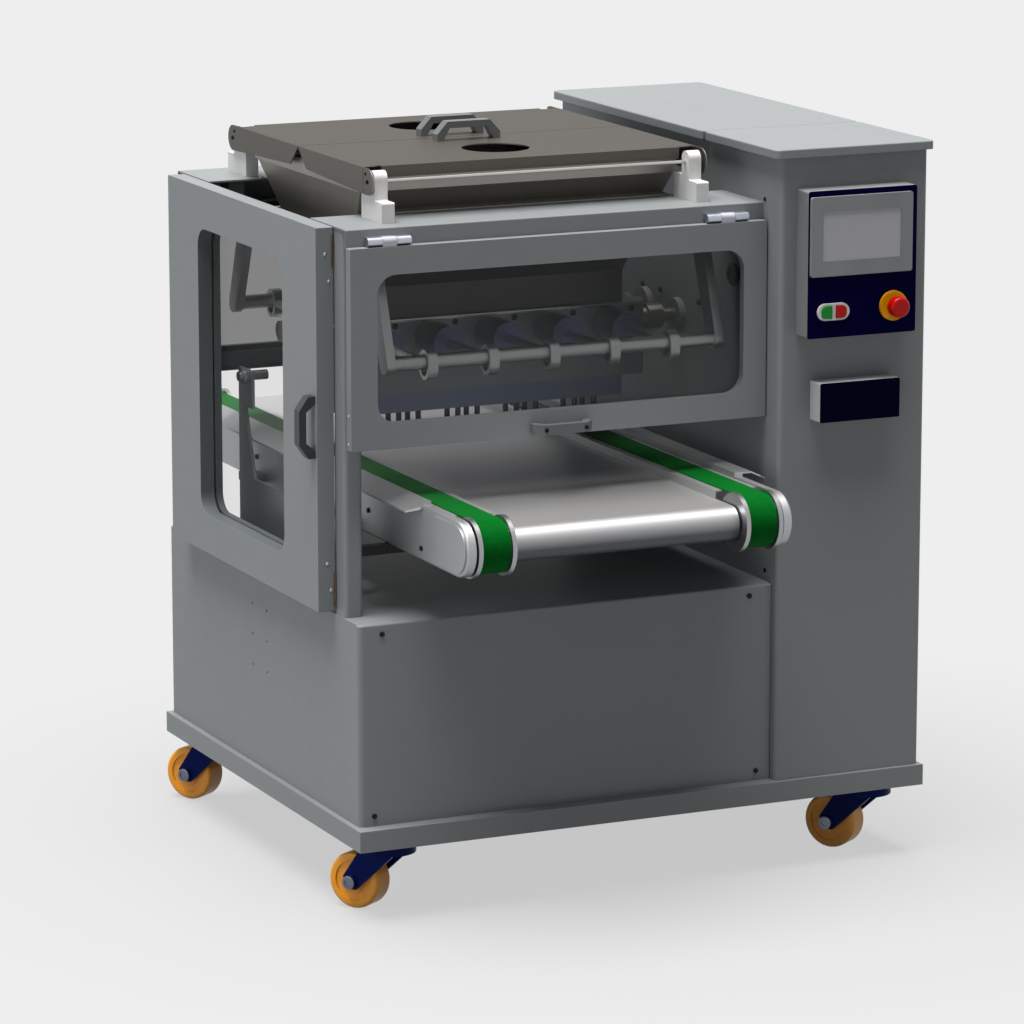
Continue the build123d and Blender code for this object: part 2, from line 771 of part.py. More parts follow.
# Side door: swings on a vertical hinge line behind its rear edge
side_mid_y = (side_door_front + side_door_rear) / 2
side_mid_z = (side_door_bottom + side_door_top) / 2
side_height = side_door_top - side_door_bottom
side_plane = Plane(origin=(side_outer, side_mid_y, side_mid_z), x_dir=(0, 1, 0), z_dir=(1, 0, 0))
side_window = (
    (side_window_front - side_window_rear) / 2,
    (side_window_bottom - side_window_top) / 2,
    side_door_length - side_window_front - side_window_rear,
    side_height - side_window_bottom - side_window_top,
)
side_hinge_x = side_inner - side_hinge_back
side_hinge_y = side_door_rear + side_hinge_back
side_hinge_z = [side_door_bottom + side_hinge_inset, side_door_top - side_hinge_inset]
third = hinge_length / 3
inner_knuckle = third / 2 - hinge_end_gap
with BuildPart() as side_door_panel:
    door_pan(side_plane, side_door_length, side_height, side_window, side_door_thick)
    with BuildSketch(side_plane.offset(side_door_thick)):
        with Locations(side_window[:2]):
            RectangleRounded(side_window[2] + 2 * frame_width, side_window[3] + 2 * frame_width,
                             window_corner + frame_width)
            RectangleRounded(side_window[2], side_window[3], window_corner, mode=Mode.SUBTRACT)
    extrude(amount=side_frame_depth)
    for hinge_z in side_hinge_z:
        rod_along_z(side_hinge_x, side_hinge_y, hinge_z - inner_knuckle, hinge_z + inner_knuckle,
                    side_knuckle_diameter)
        knuckle_left = side_hinge_x - side_knuckle_diameter / 2
        block((knuckle_left, side_door_rear - door_sheet, hinge_z - inner_knuckle),
              (side_hinge_x, side_hinge_y, hinge_z + inner_knuckle))
        rod_along_z(side_hinge_x, side_hinge_y, hinge_z - inner_knuckle, hinge_z + inner_knuckle,
                    hinge_pin_diameter + 2 * running_gap, Mode.SUBTRACT)
save(side_door_panel, "side_door_panel")

with BuildPart() as side_door_window:
    door_pane(side_plane, side_window, side_door_thick)
save(side_door_window, "side_door_window")

with BuildPart() as side_door_handle:
    handle_middle = (side_outer, side_door_front + side_handle_y, side_door_bottom + side_handle_z)
    bridge_handle(
        Plane(origin=handle_middle, x_dir=(0, 0, 1), z_dir=(0, -1, 0)),
        side_handle_length, side_handle_reach, side_handle_width, side_handle_bar, side_handle_slope,
    )
save(side_door_handle, "side_door_handle")

# Flap doors: the front and the rear one are mirror images, hinged along their top edge
flap_width = flap_right - flap_left
flap_height = flap_top - flap_bottom
flap_mid_x = (flap_left + flap_right) / 2
flap_mid_z = (flap_bottom + flap_top) / 2
flap_window = (
    (flap_window_left - flap_window_right) / 2,
    (flap_window_bottom - flap_window_top) / 2,
    flap_width - flap_window_left - flap_window_right,
    flap_height - flap_window_bottom - flap_window_top,
)
flap_hinge_x = [flap_left + hinge_end_inset, flap_right - hinge_end_inset]
for side, flap in ((-1, "front"), (1, "rear")):
    flap_middle = (flap_mid_x, side * flap_face, flap_mid_z)
    outside = Plane(origin=flap_middle, x_dir=(side, 0, 0), z_dir=(0, -side, 0))
    pan_window = (side * flap_window[0], *flap_window[1:])
    with BuildPart() as flap_panel:
        door_pan(outside, flap_width, flap_height, pan_window, flap_thick)
        for hinge_x in flap_hinge_x:
            x0 = hinge_x - inner_knuckle
            x1 = hinge_x + inner_knuckle
            axis_y = side * hinge_axis_y
            rod_along_x(x0, x1, axis_y, hinge_axis_z, flap_knuckle_diameter)
            block((x0, axis_y - flap_knuckle_diameter / 2, flap_top - door_sheet),
                  (x1, axis_y + flap_knuckle_diameter / 2, hinge_axis_z))
            rod_along_x(x0, x1, axis_y, hinge_axis_z, hinge_pin_diameter + 2 * running_gap, Mode.SUBTRACT)
    save(flap_panel, f"{flap}_door_panel")

    with BuildPart() as flap_pane:
        door_pane(outside, pan_window, flap_thick)
    save(flap_pane, f"{flap}_door_window")

    with BuildPart() as flap_handle:
        bridge_handle(
            Plane(origin=(flap_left + flap_handle_x, side * flap_face, flap_bottom + flap_handle_z),
                  x_dir=(side, 0, 0), z_dir=(0, 0, 1)),
            flap_handle_length, flap_handle_reach, flap_handle_width, flap_handle_bar, flap_handle_slope,
        )
    save(flap_handle, f"{flap}_door_handle")

# Door hinges: fixed leaves with their outer knuckles and pins
with BuildPart() as door_hinges:
    for side in both_sides:
        axis_y = side * hinge_axis_y
        for hinge_x in flap_hinge_x:
            x0 = hinge_x - hinge_length / 2
            x1 = hinge_x + hinge_length / 2
            block((x0, side * ledge_reach, hinge_axis_z),
                  (x1, side * (ledge_reach + hinge_leaf), hinge_axis_z + flap_leaf_height))
            for end in both_sides:
                knuckle_from = hinge_x + end * third / 2
                knuckle_to = hinge_x + end * hinge_length / 2
                rod_along_x(knuckle_from, knuckle_to, axis_y, hinge_axis_z, flap_knuckle_diameter)
                block((knuckle_from, side * ledge_reach, hinge_axis_z),
                      (knuckle_to, axis_y, hinge_axis_z + flap_knuckle_diameter / 2))
            rod_along_x(x0, x1, axis_y, hinge_axis_z, hinge_pin_diameter)
    for hinge_z in side_hinge_z:
        leaf_back = side_hinge_y + side_knuckle_diameter / 2
        block((post_left - hinge_leaf, side_hinge_y - side_leaf_width, hinge_z - hinge_length / 2),
              (post_left, leaf_back, hinge_z + hinge_length / 2))
        for end in both_sides:
            knuckle_from = hinge_z + end * third / 2
            knuckle_to = hinge_z + end * hinge_length / 2
            rod_along_z(side_hinge_x, side_hinge_y, knuckle_from, knuckle_to, side_knuckle_diameter)
            block((side_hinge_x, side_hinge_y, knuckle_from), (post_left, leaf_back, knuckle_to))
        rod_along_z(side_hinge_x, side_hinge_y, hinge_z - hinge_length / 2, hinge_z + hinge_length / 2,
                    hinge_pin_diameter)
save(door_hinges, "door_hinges")

# Saddle blocks: white blocks on the ledges that hold the lid's hinge rods
saddle_left = leaf_left + leaf_sheet + saddle_gap
saddle_right = leaf_right - leaf_sheet - saddle_gap
saddle_x = [(saddle_left, saddle_left + saddle_thick), (saddle_right - saddle_thick, saddle_right)]
saddle_front = rod_y + saddle_ahead
saddle_back = saddle_front - saddle_length
step_back = saddle_front - saddle_step_length
with BuildPart() as saddle_blocks:
    for side in both_sides:
        for x0, x1 in saddle_x:
            with BuildSketch(Plane.YZ.offset(x0)) as profile:
                with BuildLine():
                    Polyline(
                        (side * saddle_front, frame_top),
                        (side * saddle_front, frame_top + saddle_step),
                        (side * step_back, frame_top + saddle_step),
                        (side * step_back, frame_top + saddle_height),
                        (side * saddle_back, frame_top + saddle_height),
                        (side * saddle_back, frame_top),
                        close=True,
                    )
                make_face()
                levels = profile.vertices().group_by(Axis.Y)
                fillet(levels[1] + levels[2], saddle_round)
                with Locations((side * rod_y, (frame_top + rod_z + saddle_crown) / 2)):
                    Rectangle(saddle_upright, rod_z + saddle_crown - frame_top)
                with Locations((side * rod_y, rod_z + saddle_crown)):
                    Circle(saddle_upright / 2)
                with Locations((side * rod_y, rod_z)):
                    Circle(rod_diameter / 2, mode=Mode.SUBTRACT)
            extrude(amount=x1 - x0)
save(saddle_blocks, "saddle_blocks")

# Hinge rods: one bright rod along each outer edge of the lid
with BuildPart() as lid_hinge_rods:
    for side in both_sides:
        rod_along_x(leaf_left, leaf_right, side * rod_y, rod_z, rod_diameter)
save(lid_hinge_rods, "lid_hinge_rods")

# Hopper lid: two leaves that meet over the middle, with end skirts that turn on the rods
for side, leaf in ((-1, "front"), (1, "rear")):
    seam_y = side * leaf_gap / 2
    edge_y = side * (rod_y - leaf_set_back)
    with BuildPart() as lid_leaf:
        block((leaf_left, seam_y, leaf_top - leaf_sheet), (leaf_right, edge_y, leaf_top))
        for x0, x1 in saddle_x:
            block((x0 - notch_gap, edge_y, leaf_top - leaf_sheet),
                  (x1 + notch_gap, edge_y - side * notch_depth, leaf_top), mode=Mode.SUBTRACT)
        block((saddle_x[0][1] + notch_gap, edge_y, leaf_top - leaf_lip),
              (saddle_x[1][0] - notch_gap, edge_y - side * leaf_sheet, leaf_top))
        for skirt_x in (leaf_left, leaf_right - leaf_sheet):
            with BuildSketch(Plane.YZ.offset(skirt_x)):
                with BuildLine():
                    round_end = ThreePointArc(
                        (side * rod_y, leaf_top),
                        (side * (rod_y + leaf_rise), rod_z),
                        (side * rod_y, rod_z - leaf_rise),
                    )
                    Polyline(
                        round_end @ 1,
                        (seam_y + side * skirt_notch, leaf_top - skirt_depth),
                        (seam_y, leaf_top - leaf_sheet),
                        (seam_y, leaf_top),
                        round_end @ 0,
                    )
                make_face()
            extrude(amount=leaf_sheet)
            rod_along_x(skirt_x, skirt_x + leaf_sheet, side * rod_y, rod_z,
                        rod_diameter + 2 * running_gap, Mode.SUBTRACT)
        rod_along_z(hopper_x + filler_x, side * filler_y, leaf_top - leaf_sheet, leaf_top,
                    filler_diameter, Mode.SUBTRACT)
    save(lid_leaf, f"hopper_lid_{leaf}")

    with BuildPart() as leaf_handle:
        handle_middle = (hopper_x + filler_x, side * leaf_handle_y, leaf_top)
        bridge_handle(
            Plane(origin=handle_middle, x_dir=(1, 0, 0), z_dir=(0, -1, 0)),
            leaf_handle_length, leaf_handle_reach, leaf_handle_width, leaf_handle_bar, leaf_handle_slope,
        )
    save(leaf_handle, f"lid_handle_{leaf}")

# Hopper: sloped funnel with a rim band, rests by two flanges on the ledges and ends in a duct
funnel_slope = (hopper_half_depth - duct_half_depth) / (hopper_rim_z - duct_top)
flange_y = duct_half_depth + funnel_slope * (frame_top - duct_top)
with BuildPart() as hopper:
    for inset, mode in ((0, Mode.ADD), (hopper_sheet, Mode.SUBTRACT)):
        with BuildSketch(Plane.XY.offset(duct_top)):
            with Locations((head_x, 0)):
                Rectangle(duct_length - 2 * inset, 2 * (duct_half_depth - inset))
        with BuildSketch(Plane.XY.offset(hopper_rim_z)):
            with Locations((hopper_x, 0)):
                Rectangle(hopper_length - 2 * inset, 2 * (hopper_half_depth - inset))
        loft(mode=mode)
        if inset == 0:
            for side in both_sides:
                flange_half = hopper_length / 2 - hopper_flange_inset
                block((hopper_x - flange_half, side * (flange_y - hopper_flange_root), frame_top),
                      (hopper_x + flange_half, side * hopper_flange_reach, frame_top + hopper_sheet))
            with BuildSketch(Plane.XY.offset(hopper_rim_z)):
                with Locations((hopper_x, 0)):
                    Rectangle(hopper_length + 2 * rim_proud, 2 * (hopper_half_depth + rim_proud))
            extrude(amount=hopper_rim)
            block((head_x - duct_length / 2, -duct_half_depth, body_top),
                  (head_x + duct_length / 2, duct_half_depth, duct_top))
    with BuildSketch(Plane.XY.offset(hopper_rim_z)):
        with Locations((hopper_x, 0)):
            Rectangle(hopper_length - 2 * hopper_sheet, 2 * (hopper_half_depth - hopper_sheet))
    extrude(amount=hopper_rim, mode=Mode.SUBTRACT)
    duct_inner_half = duct_length / 2 - hopper_sheet
    block((head_x - duct_inner_half, -duct_half_depth + hopper_sheet, body_top),
          (head_x + duct_inner_half, duct_half_depth - hopper_sheet, duct_top), mode=Mode.SUBTRACT)
save(hopper, "hopper")

# Valve body: block under the hopper with two spool bores and three ports for every piston
with BuildPart() as valve_body:
    block((body_left, -body_half_depth, body_bottom), (body_right, body_half_depth, body_top))
    for side in both_sides:
        rod_along_x(body_left, body_right, side * spool_y, piston_z,
                    spool_diameter + 2 * running_gap, Mode.SUBTRACT)
        for x in piston_x:
            rod_along_z(x, side * spool_y, piston_z, body_top, port_diameter, Mode.SUBTRACT)
            rod_along_y(x, side * spool_y, side * body_half_depth, piston_z, port_diameter, Mode.SUBTRACT)
            rod_along_z(x, side * outlet_y, body_bottom, piston_z, outlet_diameter, Mode.SUBTRACT)
save(valve_body, "valve_body")

# Dosing cylinders: one row in front of the valve body and one behind it
with BuildPart() as cylinders:
    for side in both_sides:
        near_end = side * body_half_depth
        far_end = side * (body_half_depth + cylinder_length)
        for x in piston_x:
            rod_along_y(x, near_end, far_end, piston_z, cylinder_outer)
            rod_along_y(x, near_end, far_end - side * cylinder_cap, piston_z, cylinder_bore, Mode.SUBTRACT)
            rod_along_y(x, near_end, far_end, piston_z, piston_rod_diameter + 2 * running_gap, Mode.SUBTRACT)
save(cylinders, "cylinders")

# Moving parts of each row: pistons, rocker frame and valve spool
shaft_end = tower_left + sheet + shaft_engagement
arm_spots = [body_left - left_arm_gap, tower_left - right_arm_gap]
pillow_left = arm_spots[0] - arm_thick / 2 - pillow_gap - pillow_width
pillow_right = arm_spots[1] + arm_thick / 2 + pillow_gap
piston_back = body_half_depth + cylinder_length - cylinder_cap - piston_rest
slot_width = bar_diameter + 2 * eye_side_gap
slot_height = bar_diameter + bar_fall + 2 * eye_end_gap
eye_z = bar_z - bar_fall / 2
for side, row in ((-1, "front"), (1, "rear")):
    with BuildPart() as piston_rods:
        for x in piston_x:
            rod_along_y(x, side * (piston_back - piston_thick), side * piston_back, piston_z,
                        cylinder_bore - 2 * running_gap)
            rod_along_y(x, side * piston_back, side * (bar_y - slot_width / 2 - rod_eye_wall / 2), piston_z,
                        piston_rod_diameter)
            with BuildSketch(Plane.YZ.offset(x - rod_eye_thick / 2)):
                with Locations((side * bar_y, eye_z)):
                    SlotOverall(slot_height + 2 * rod_eye_wall, slot_width + 2 * rod_eye_wall, rotation=90)
                    SlotOverall(slot_height, slot_width, rotation=90, mode=Mode.SUBTRACT)
            extrude(amount=rod_eye_thick)
    save(piston_rods, f"piston_rods_{row}")

    with BuildPart() as rocker:
        rod_along_x(pillow_left - rocker_stub, shaft_end, side * pivot_y, pivot_z, rocker_shaft_diameter)
        for arm_x in arm_spots:
            with BuildSketch(Plane.YZ.offset(arm_x - arm_thick / 2)):
                with Locations((side * pivot_y, pivot_z)):
                    Circle(arm_top_radius)
                with Locations((side * bar_y, bar_z)):
                    Circle(arm_end_radius)
                make_hull()
            extrude(amount=arm_thick)
        rod_along_x(arm_spots[0], arm_spots[1], side * bar_y, bar_z, bar_diameter)
    save(rocker, f"rocker_{row}")

    with BuildPart() as valve_spool:
        spool_left = body_left - spool_stub
        ring_left = body_left - seat_gap - ring_thick
        ring_right = body_right + seat_gap
        coupling_left = body_right + coupling_gap
        for x0, x1, diameter in (
            (ring_left, coupling_left, spool_diameter),
            (ring_left, ring_left + ring_thick, ring_diameter),
            (ring_right, ring_right + ring_thick, ring_diameter),
            (coupling_left, coupling_left + coupling_length, coupling_diameter),
            (coupling_left, shaft_end, spool_shaft_diameter),
            (spool_left, ring_left, spool_shaft_diameter),
            (spool_left, spool_left + spool_end, spool_diameter),
        ):
            rod_along_x(x0, x1, side * spool_y, piston_z, diameter)
        for x in piston_x:
            rod_along_z(x, side * spool_y, piston_z, piston_z + spool_diameter,
                        channel_diameter, Mode.SUBTRACT)
            rod_along_y(x, side * spool_y, side * (spool_y + spool_diameter), piston_z,
                        channel_diameter, Mode.SUBTRACT)
            with Locations((x, side * spool_y, piston_z)):
                Sphere(channel_diameter / 2, mode=Mode.SUBTRACT)
    save(valve_spool, f"valve_spool_{row}")

# Shaft bearings: pillow blocks under the ledges and flange bearings on the tower wall
with BuildPart() as shaft_bearings:
    for side in both_sides:
        for pillow_x in (pillow_left, pillow_right):
            block((pillow_x, side * (pivot_y - pillow_depth / 2), pivot_z - pillow_below),
                  (pillow_x + pillow_width, side * (pivot_y + pillow_depth / 2), ledge_under))
            rod_along_x(pillow_x, pillow_x + pillow_width, side * pivot_y, pivot_z,
                        rocker_shaft_diameter + 2 * running_gap, Mode.SUBTRACT)
        bearing_left = tower_left - wall_bearing_thick
        rod_along_x(bearing_left, tower_left, side * spool_y, piston_z, wall_bearing_diameter)
        rod_along_x(bearing_left, tower_left, side * spool_y, piston_z,
                    spool_shaft_diameter + 2 * running_gap, Mode.SUBTRACT)
save(shaft_bearings, "shaft_bearings")

# Drive unit: gear case on the inside of the tower wall, with its motor
case_left = tower_left + sheet
case_right = case_left + drive_width
drive_top = pivot_z + drive_above
drive_bottom = piston_z - drive_below
drive_beam_half = pivot_y + drive_beam_end
drive_case_half = spool_y + drive_case_side
motor_z = (drive_top + drive_bottom) / 2 - motor_drop
with BuildPart() as drive_unit:
    block((case_left, -drive_beam_half, drive_top - drive_beam_height),
          (case_right, drive_beam_half, drive_top))
    block((case_left, -drive_case_half, drive_bottom), (case_right, drive_case_half, drive_top))
    fillet(drive_unit.edges().filter_by(Axis.X), drive_edge)
    rod_along_x(case_right, case_right + motor_length, 0, motor_z, motor_diameter)
    for hole_y, hole_z, hole_diameter in rocker_spots + spool_spots:
        rod_along_x(case_left, case_left + shaft_engagement + seat_gap, hole_y, hole_z,
                    hole_diameter + 2 * running_gap, Mode.SUBTRACT)
save(drive_unit, "drive_unit")

# Nozzle beam and nozzles: every piston feeds two nozzles through a pocket in the beam
nozzle_spots = []
for side in both_sides:
    for x in piston_x:
        nozzle_spots.append((x + nozzle_shift - nozzle_x, side * nozzle_y))
        nozzle_spots.append((x + nozzle_shift + nozzle_x, side * nozzle_y))
with BuildPart() as nozzle_beam:
    block((head_x - beam_length / 2, -beam_half_depth, beam_bottom),
          (head_x + beam_length / 2, beam_half_depth, body_bottom))
    for side in both_sides:
        for x in piston_x:
            pocket_x = x + nozzle_shift
            block((pocket_x - manifold_length / 2, side * manifold_inner, body_bottom - manifold_depth),
                  (pocket_x + manifold_length / 2, side * (beam_half_depth - manifold_wall), body_bottom),
                  mode=Mode.SUBTRACT)
    for spot_x, spot_y in nozzle_spots:
        rod_along_z(spot_x, spot_y, beam_bottom, body_bottom - manifold_depth, nozzle_bore, Mode.SUBTRACT)
        rod_along_z(spot_x, spot_y, beam_bottom, beam_bottom + nozzle_seat, nozzle_outer, Mode.SUBTRACT)
save(nozzle_beam, "nozzle_beam")

with BuildPart() as nozzles:
    for spot_x, spot_y in nozzle_spots:
        nozzle_top = beam_bottom + nozzle_seat
        rod_along_z(spot_x, spot_y, beam_bottom - nozzle_length, nozzle_top, nozzle_outer)
        rod_along_z(spot_x, spot_y, beam_bottom - nozzle_length, nozzle_top, nozzle_bore, Mode.SUBTRACT)
save(nozzles, "nozzles")

# Conveyor sides: round-ended plates on the cross bars, with end covers and sloped tray guides
cover_radius = plate_half_height - plate_cover_inset
plate_screws = [plate_screw_inner, plate_screw_outer]
with BuildPart() as conveyor_sides:
    for side, guide_web in ((-1, guide_web_left), (1, guide_web_right)):
        inner = conveyor_x + side * plate_inner
        outer = conveyor_x + side * plate_outer
        with BuildSketch(Plane.YZ.offset(min(inner, outer))):
            with Locations((0, roller_z)):
                SlotOverall(2 * (roller_y + plate_half_height), 2 * plate_half_height)
        extrude(amount=plate_thick)
        outer_group = 0 if side < 0 else -1
        fillet(conveyor_sides.edges().group_by(Axis.X)[outer_group], plate_edge)
        web_edge = inner + side * guide_web
        guide_tip = web_edge + side * guide_wing
        guide_low = guide_top - guide_drop - guide_sheet
        outline = [
            (inner, guide_top - guide_root),
            (inner, guide_top),
            (web_edge, guide_top),
            (guide_tip, guide_low + guide_sheet),
            (guide_tip, guide_low),
        ]
        if guide_web > plate_thick:
            outline.append((web_edge, guide_top - guide_sheet))
            outline.append((outer, guide_top - guide_sheet))
        outline.append((outer, guide_top - guide_root))
        with BuildSketch(Plane.XZ):
            with BuildLine():
                Polyline(*outline, close=True)
            make_face()
        extrude(amount=guide_half_length, both=True)
        for end in both_sides:
            with BuildSketch(Plane.XY.offset(guide_low)):
                with BuildLine():
                    Polyline(
                        (guide_tip, end * guide_half_length),
                        (guide_tip - side * guide_chamfer, end * guide_half_length),
                        (guide_tip, end * (guide_half_length - guide_chamfer)),
                        close=True,
                    )
                make_face()
            extrude(amount=guide_drop + guide_sheet, mode=Mode.SUBTRACT)
            with BuildSketch(Plane.YZ.offset(outer)):
                with Locations((end * roller_y, roller_z)):
                    Circle(cover_radius)
                with Locations((end * (roller_y - plate_cover_length / 2), roller_z)):
                    Rectangle(plate_cover_length, 2 * cover_radius)
            extrude(amount=side * plate_cover)
            rod_along_x(inner, inner + side * (shaft_socket + seat_gap), end * roller_y, roller_z,
                        conveyor_shaft_diameter + 2 * running_gap, Mode.SUBTRACT)
            for screw_y, screw_rise in plate_screws:
                rod_along_x(outer, outer - side * plate_screw_length, end * screw_y, roller_z + screw_rise,
                            screw_shank_diameter, Mode.SUBTRACT)
save(conveyor_sides, "conveyor_sides")

# Conveyor bed: sheet between the plates, rolled over at both ends, with a shelf strip under each belt
with BuildPart() as conveyor_bed:
    block((conveyor_x - bed_half, -roller_y, bed_top - bed_sheet), (conveyor_x + bed_half, roller_y, bed_top))
    for end in both_sides:
        with BuildSketch(Plane.YZ.offset(conveyor_x - bed_half)):
            with Locations((end * roller_y, roller_z)):
                Circle(nose_radius)
                Circle(nose_radius - bed_sheet, mode=Mode.SUBTRACT)
            with Locations((end * (roller_y - nose_radius / 2), roller_z)):
                Rectangle(nose_radius, 2 * nose_radius, mode=Mode.SUBTRACT)
        extrude(amount=2 * bed_half)
        block((conveyor_x - bed_half, end * (roller_y - nose_return), roller_z - nose_radius),
              (conveyor_x + bed_half, end * roller_y, roller_z - nose_radius + bed_sheet))
with BuildPart() as belt_shelves:
    for side in both_sides:
        lip_x = conveyor_x + side * (bed_half - bed_sheet)
        block((lip_x, -bed_side_end, bed_top),
              (conveyor_x + side * bed_half, bed_side_end, slider_top))
        block((lip_x, -bed_side_end, slider_top - bed_sheet),
              (conveyor_x + side * plate_inner, bed_side_end, slider_top))
save(conveyor_bed, "conveyor_bed", belt_shelves)

# Belts: two endless bands round the front and rear pulleys
with BuildPart() as conveyor_belts:
    for side in both_sides:
        with BuildSketch(Plane.YZ.offset(conveyor_x + side * belt_offset - belt_width / 2)):
            with Locations((0, roller_z)):
                SlotOverall(2 * (roller_y + belt_outer_radius), 2 * belt_outer_radius)
                SlotOverall(2 * (roller_y + belt_inner_radius), 2 * belt_inner_radius, mode=Mode.SUBTRACT)
        extrude(amount=belt_width)
save(conveyor_belts, "conveyor_belts")

# Pulley shafts: two flanged pulleys on each, the rear one carries the drum motor between them
shaft_half = plate_inner + shaft_socket
for end, place in ((-1, "front"), (1, "rear")):
    with BuildPart() as roller:
        rod_along_x(conveyor_x - shaft_half, conveyor_x + shaft_half, end * roller_y, roller_z,
                    conveyor_shaft_diameter)
        for side in both_sides:
            pulley_x = conveyor_x + side * belt_offset
            rod_along_x(pulley_x - pulley_half, pulley_x + pulley_half, end * roller_y, roller_z,
                        pulley_diameter)
            for edge in both_sides:
                flange_x = pulley_x + edge * pulley_half
                rod_along_x(flange_x, flange_x - edge * pulley_flange, end * roller_y, roller_z,
                            pulley_flange_diameter)
        if place == "rear":
            rod_along_x(conveyor_x - belt_offset, conveyor_x + belt_offset, end * roller_y, roller_z,
                        drum_diameter)
    save(roller, f"{place}_roller")

# Tray sensor: barrel sensor on a plate that stands on the deck beside the left conveyor plate
bracket_right = plate_face - sensor_standoff
bracket_left = bracket_right - sensor_plate
bracket_front = sensor_plate_rear - sensor_plate_length
bracket_step = cross_bar_top + sensor_pad_height
bracket_top = sensor_z + sensor_above
head_bottom = bracket_top - sensor_head_height
with BuildPart() as tray_sensor:
    with BuildSketch(Plane.YZ.offset(bracket_left)):
        with BuildLine():
            Polyline(
                (bracket_front, deck_height),
                (sensor_plate_rear, deck_height),
                (sensor_plate_rear, bracket_top),
                (sensor_plate_rear - sensor_head_width, bracket_top),
                (sensor_plate_rear - sensor_head_width, head_bottom),
                (sensor_plate_rear - sensor_neck_width, head_bottom),
                (sensor_plate_rear - sensor_root_width, bracket_step),
                (bracket_front, bracket_step),
                close=True,
            )
        make_face()
    extrude(amount=sensor_plate)
    for pad_y in (bracket_front, sensor_plate_rear - sensor_pad):
        block((bracket_right, pad_y, cross_bar_top), (plate_face, pad_y + sensor_pad, bracket_step))
    barrel_from = bracket_left - sensor_inset
    rod_along_x(barrel_from, barrel_from + sensor_length, sensor_y, sensor_z, sensor_diameter)
    for nut_from, nut_to in (
        (bracket_left - sensor_nut, bracket_left),
        (bracket_right, bracket_right + sensor_nut),
    ):
        rod_along_x(nut_from, nut_to, sensor_y, sensor_z, sensor_nut_diameter)
save(tray_sensor, "tray_sensor")

# Control box: shallow cover on the tower front, cut for the push buttons
control_right = control_x + control_width
buttons_z = control_bottom + button_z
knob_x = control_x + estop_x
knob_z = control_bottom + estop_z


def push_cap(side, y0, y1, grow, mode=Mode.ADD):
    """D-shaped left (-1) or right (1) cap between two depths, its flat side towards the other cap."""
    with BuildSketch(Plane.XZ.offset(-y1)) as outline:
        with Locations((control_x + button_x + side * button_spacing / 2, buttons_z)):
            Rectangle(button_width + 2 * grow, button_height + 2 * grow)
        outer_corners = outline.vertices().group_by(Axis.X)[0 if side < 0 else -1]
        fillet(outer_corners, button_round + grow)
    extrude(outline.sketch, amount=y1 - y0, mode=mode)


stem_hole = estop_stem_diameter + 2 * button_gap
control_top = control_bottom + control_height
with BuildPart() as control_box:
    block((control_x, control_face, control_bottom), (control_right, tower_front, control_top))
    fillet(control_box.edges().filter_by(Axis.Y), control_edge)
    block((control_x + control_wall, control_face + control_wall, control_bottom + control_wall),
          (control_right - control_wall, tower_front, control_top - control_wall),
          mode=Mode.SUBTRACT)
    for side in both_sides:
        push_cap(side, control_face, control_face + control_wall, button_gap, Mode.SUBTRACT)
    rod_along_y(knob_x, control_face, control_face + control_wall, knob_z, stem_hole, Mode.SUBTRACT)
save(control_box, "control_box")

# Touch panel: bezel with the screen let into its front
bezel_x = control_x + hmi_x + hmi_width / 2
bezel_z = control_bottom + hmi_z + hmi_height / 2
bezel_face = control_face - hmi_depth
screen_low = (bezel_x - screen_width / 2, bezel_z - screen_height / 2)
screen_high = (bezel_x + screen_width / 2, bezel_z + screen_height / 2)
screen_back = bezel_face + screen_recess + screen_thick
with BuildPart() as hmi_bezel:
    with BuildSketch(Plane.XZ.offset(-control_face)):
        with Locations((bezel_x, bezel_z)):
            RectangleRounded(hmi_width, hmi_height, control_edge)
    extrude(amount=hmi_depth)
    block((screen_low[0], bezel_face, screen_low[1]), (screen_high[0], screen_back, screen_high[1]),
          mode=Mode.SUBTRACT)
save(hmi_bezel, "hmi_bezel")

with BuildPart() as hmi_screen:
    block((screen_low[0], bezel_face + screen_recess, screen_low[1]),
          (screen_high[0], screen_back, screen_high[1]))
save(hmi_screen, "hmi_screen")

# Push buttons: start and stop caps side by side in one white surround
pill_face = control_face - pill_thick
with BuildPart() as button_surround:
    with BuildSketch(Plane.XZ.offset(-control_face)):
        with Locations((control_x + button_x, buttons_z)):
            SlotOverall(pill_width, pill_height)
    extrude(amount=pill_thick)
    for side in both_sides:
        push_cap(side, pill_face, control_face, button_gap, Mode.SUBTRACT)
save(button_surround, "button_surround")

stop_face = control_face + control_wall + seat_gap
for side, push in ((-1, "start_button"), (1, "stop_button")):
    with BuildPart() as push_button:
        push_cap(side, pill_face - button_proud, stop_face + button_stop, 0)
        fillet(push_button.edges().group_by(Axis.Y)[0], button_edge)
        push_cap(side, stop_face, stop_face + button_stop, button_stop_reach)
    save(push_button, push)

# Emergency stop: mushroom head on a stem through a yellow collar
collar_face = control_face - estop_collar_thick
with BuildPart() as estop_collar:
    rod_along_y(knob_x, collar_face, control_face, knob_z, estop_collar_diameter)
    rod_along_y(knob_x, collar_face, control_face, knob_z, stem_hole, Mode.SUBTRACT)
save(estop_collar, "estop_collar")

with BuildPart() as estop_button:
    head_back = collar_face - estop_stem_proud
    rod_along_y(knob_x, head_back - estop_head_length, head_back, knob_z, estop_head_diameter)
    fillet(estop_button.edges().group_by(Axis.Y)[0], estop_head_edge)
    rod_along_y(knob_x, head_back, control_face + estop_stem_inside, knob_z, estop_stem_diameter)
    rod_along_y(knob_x, control_face + control_wall + seat_gap, control_face + estop_stem_inside, knob_z,
                estop_stop_diameter)
save(estop_button, "estop_button")

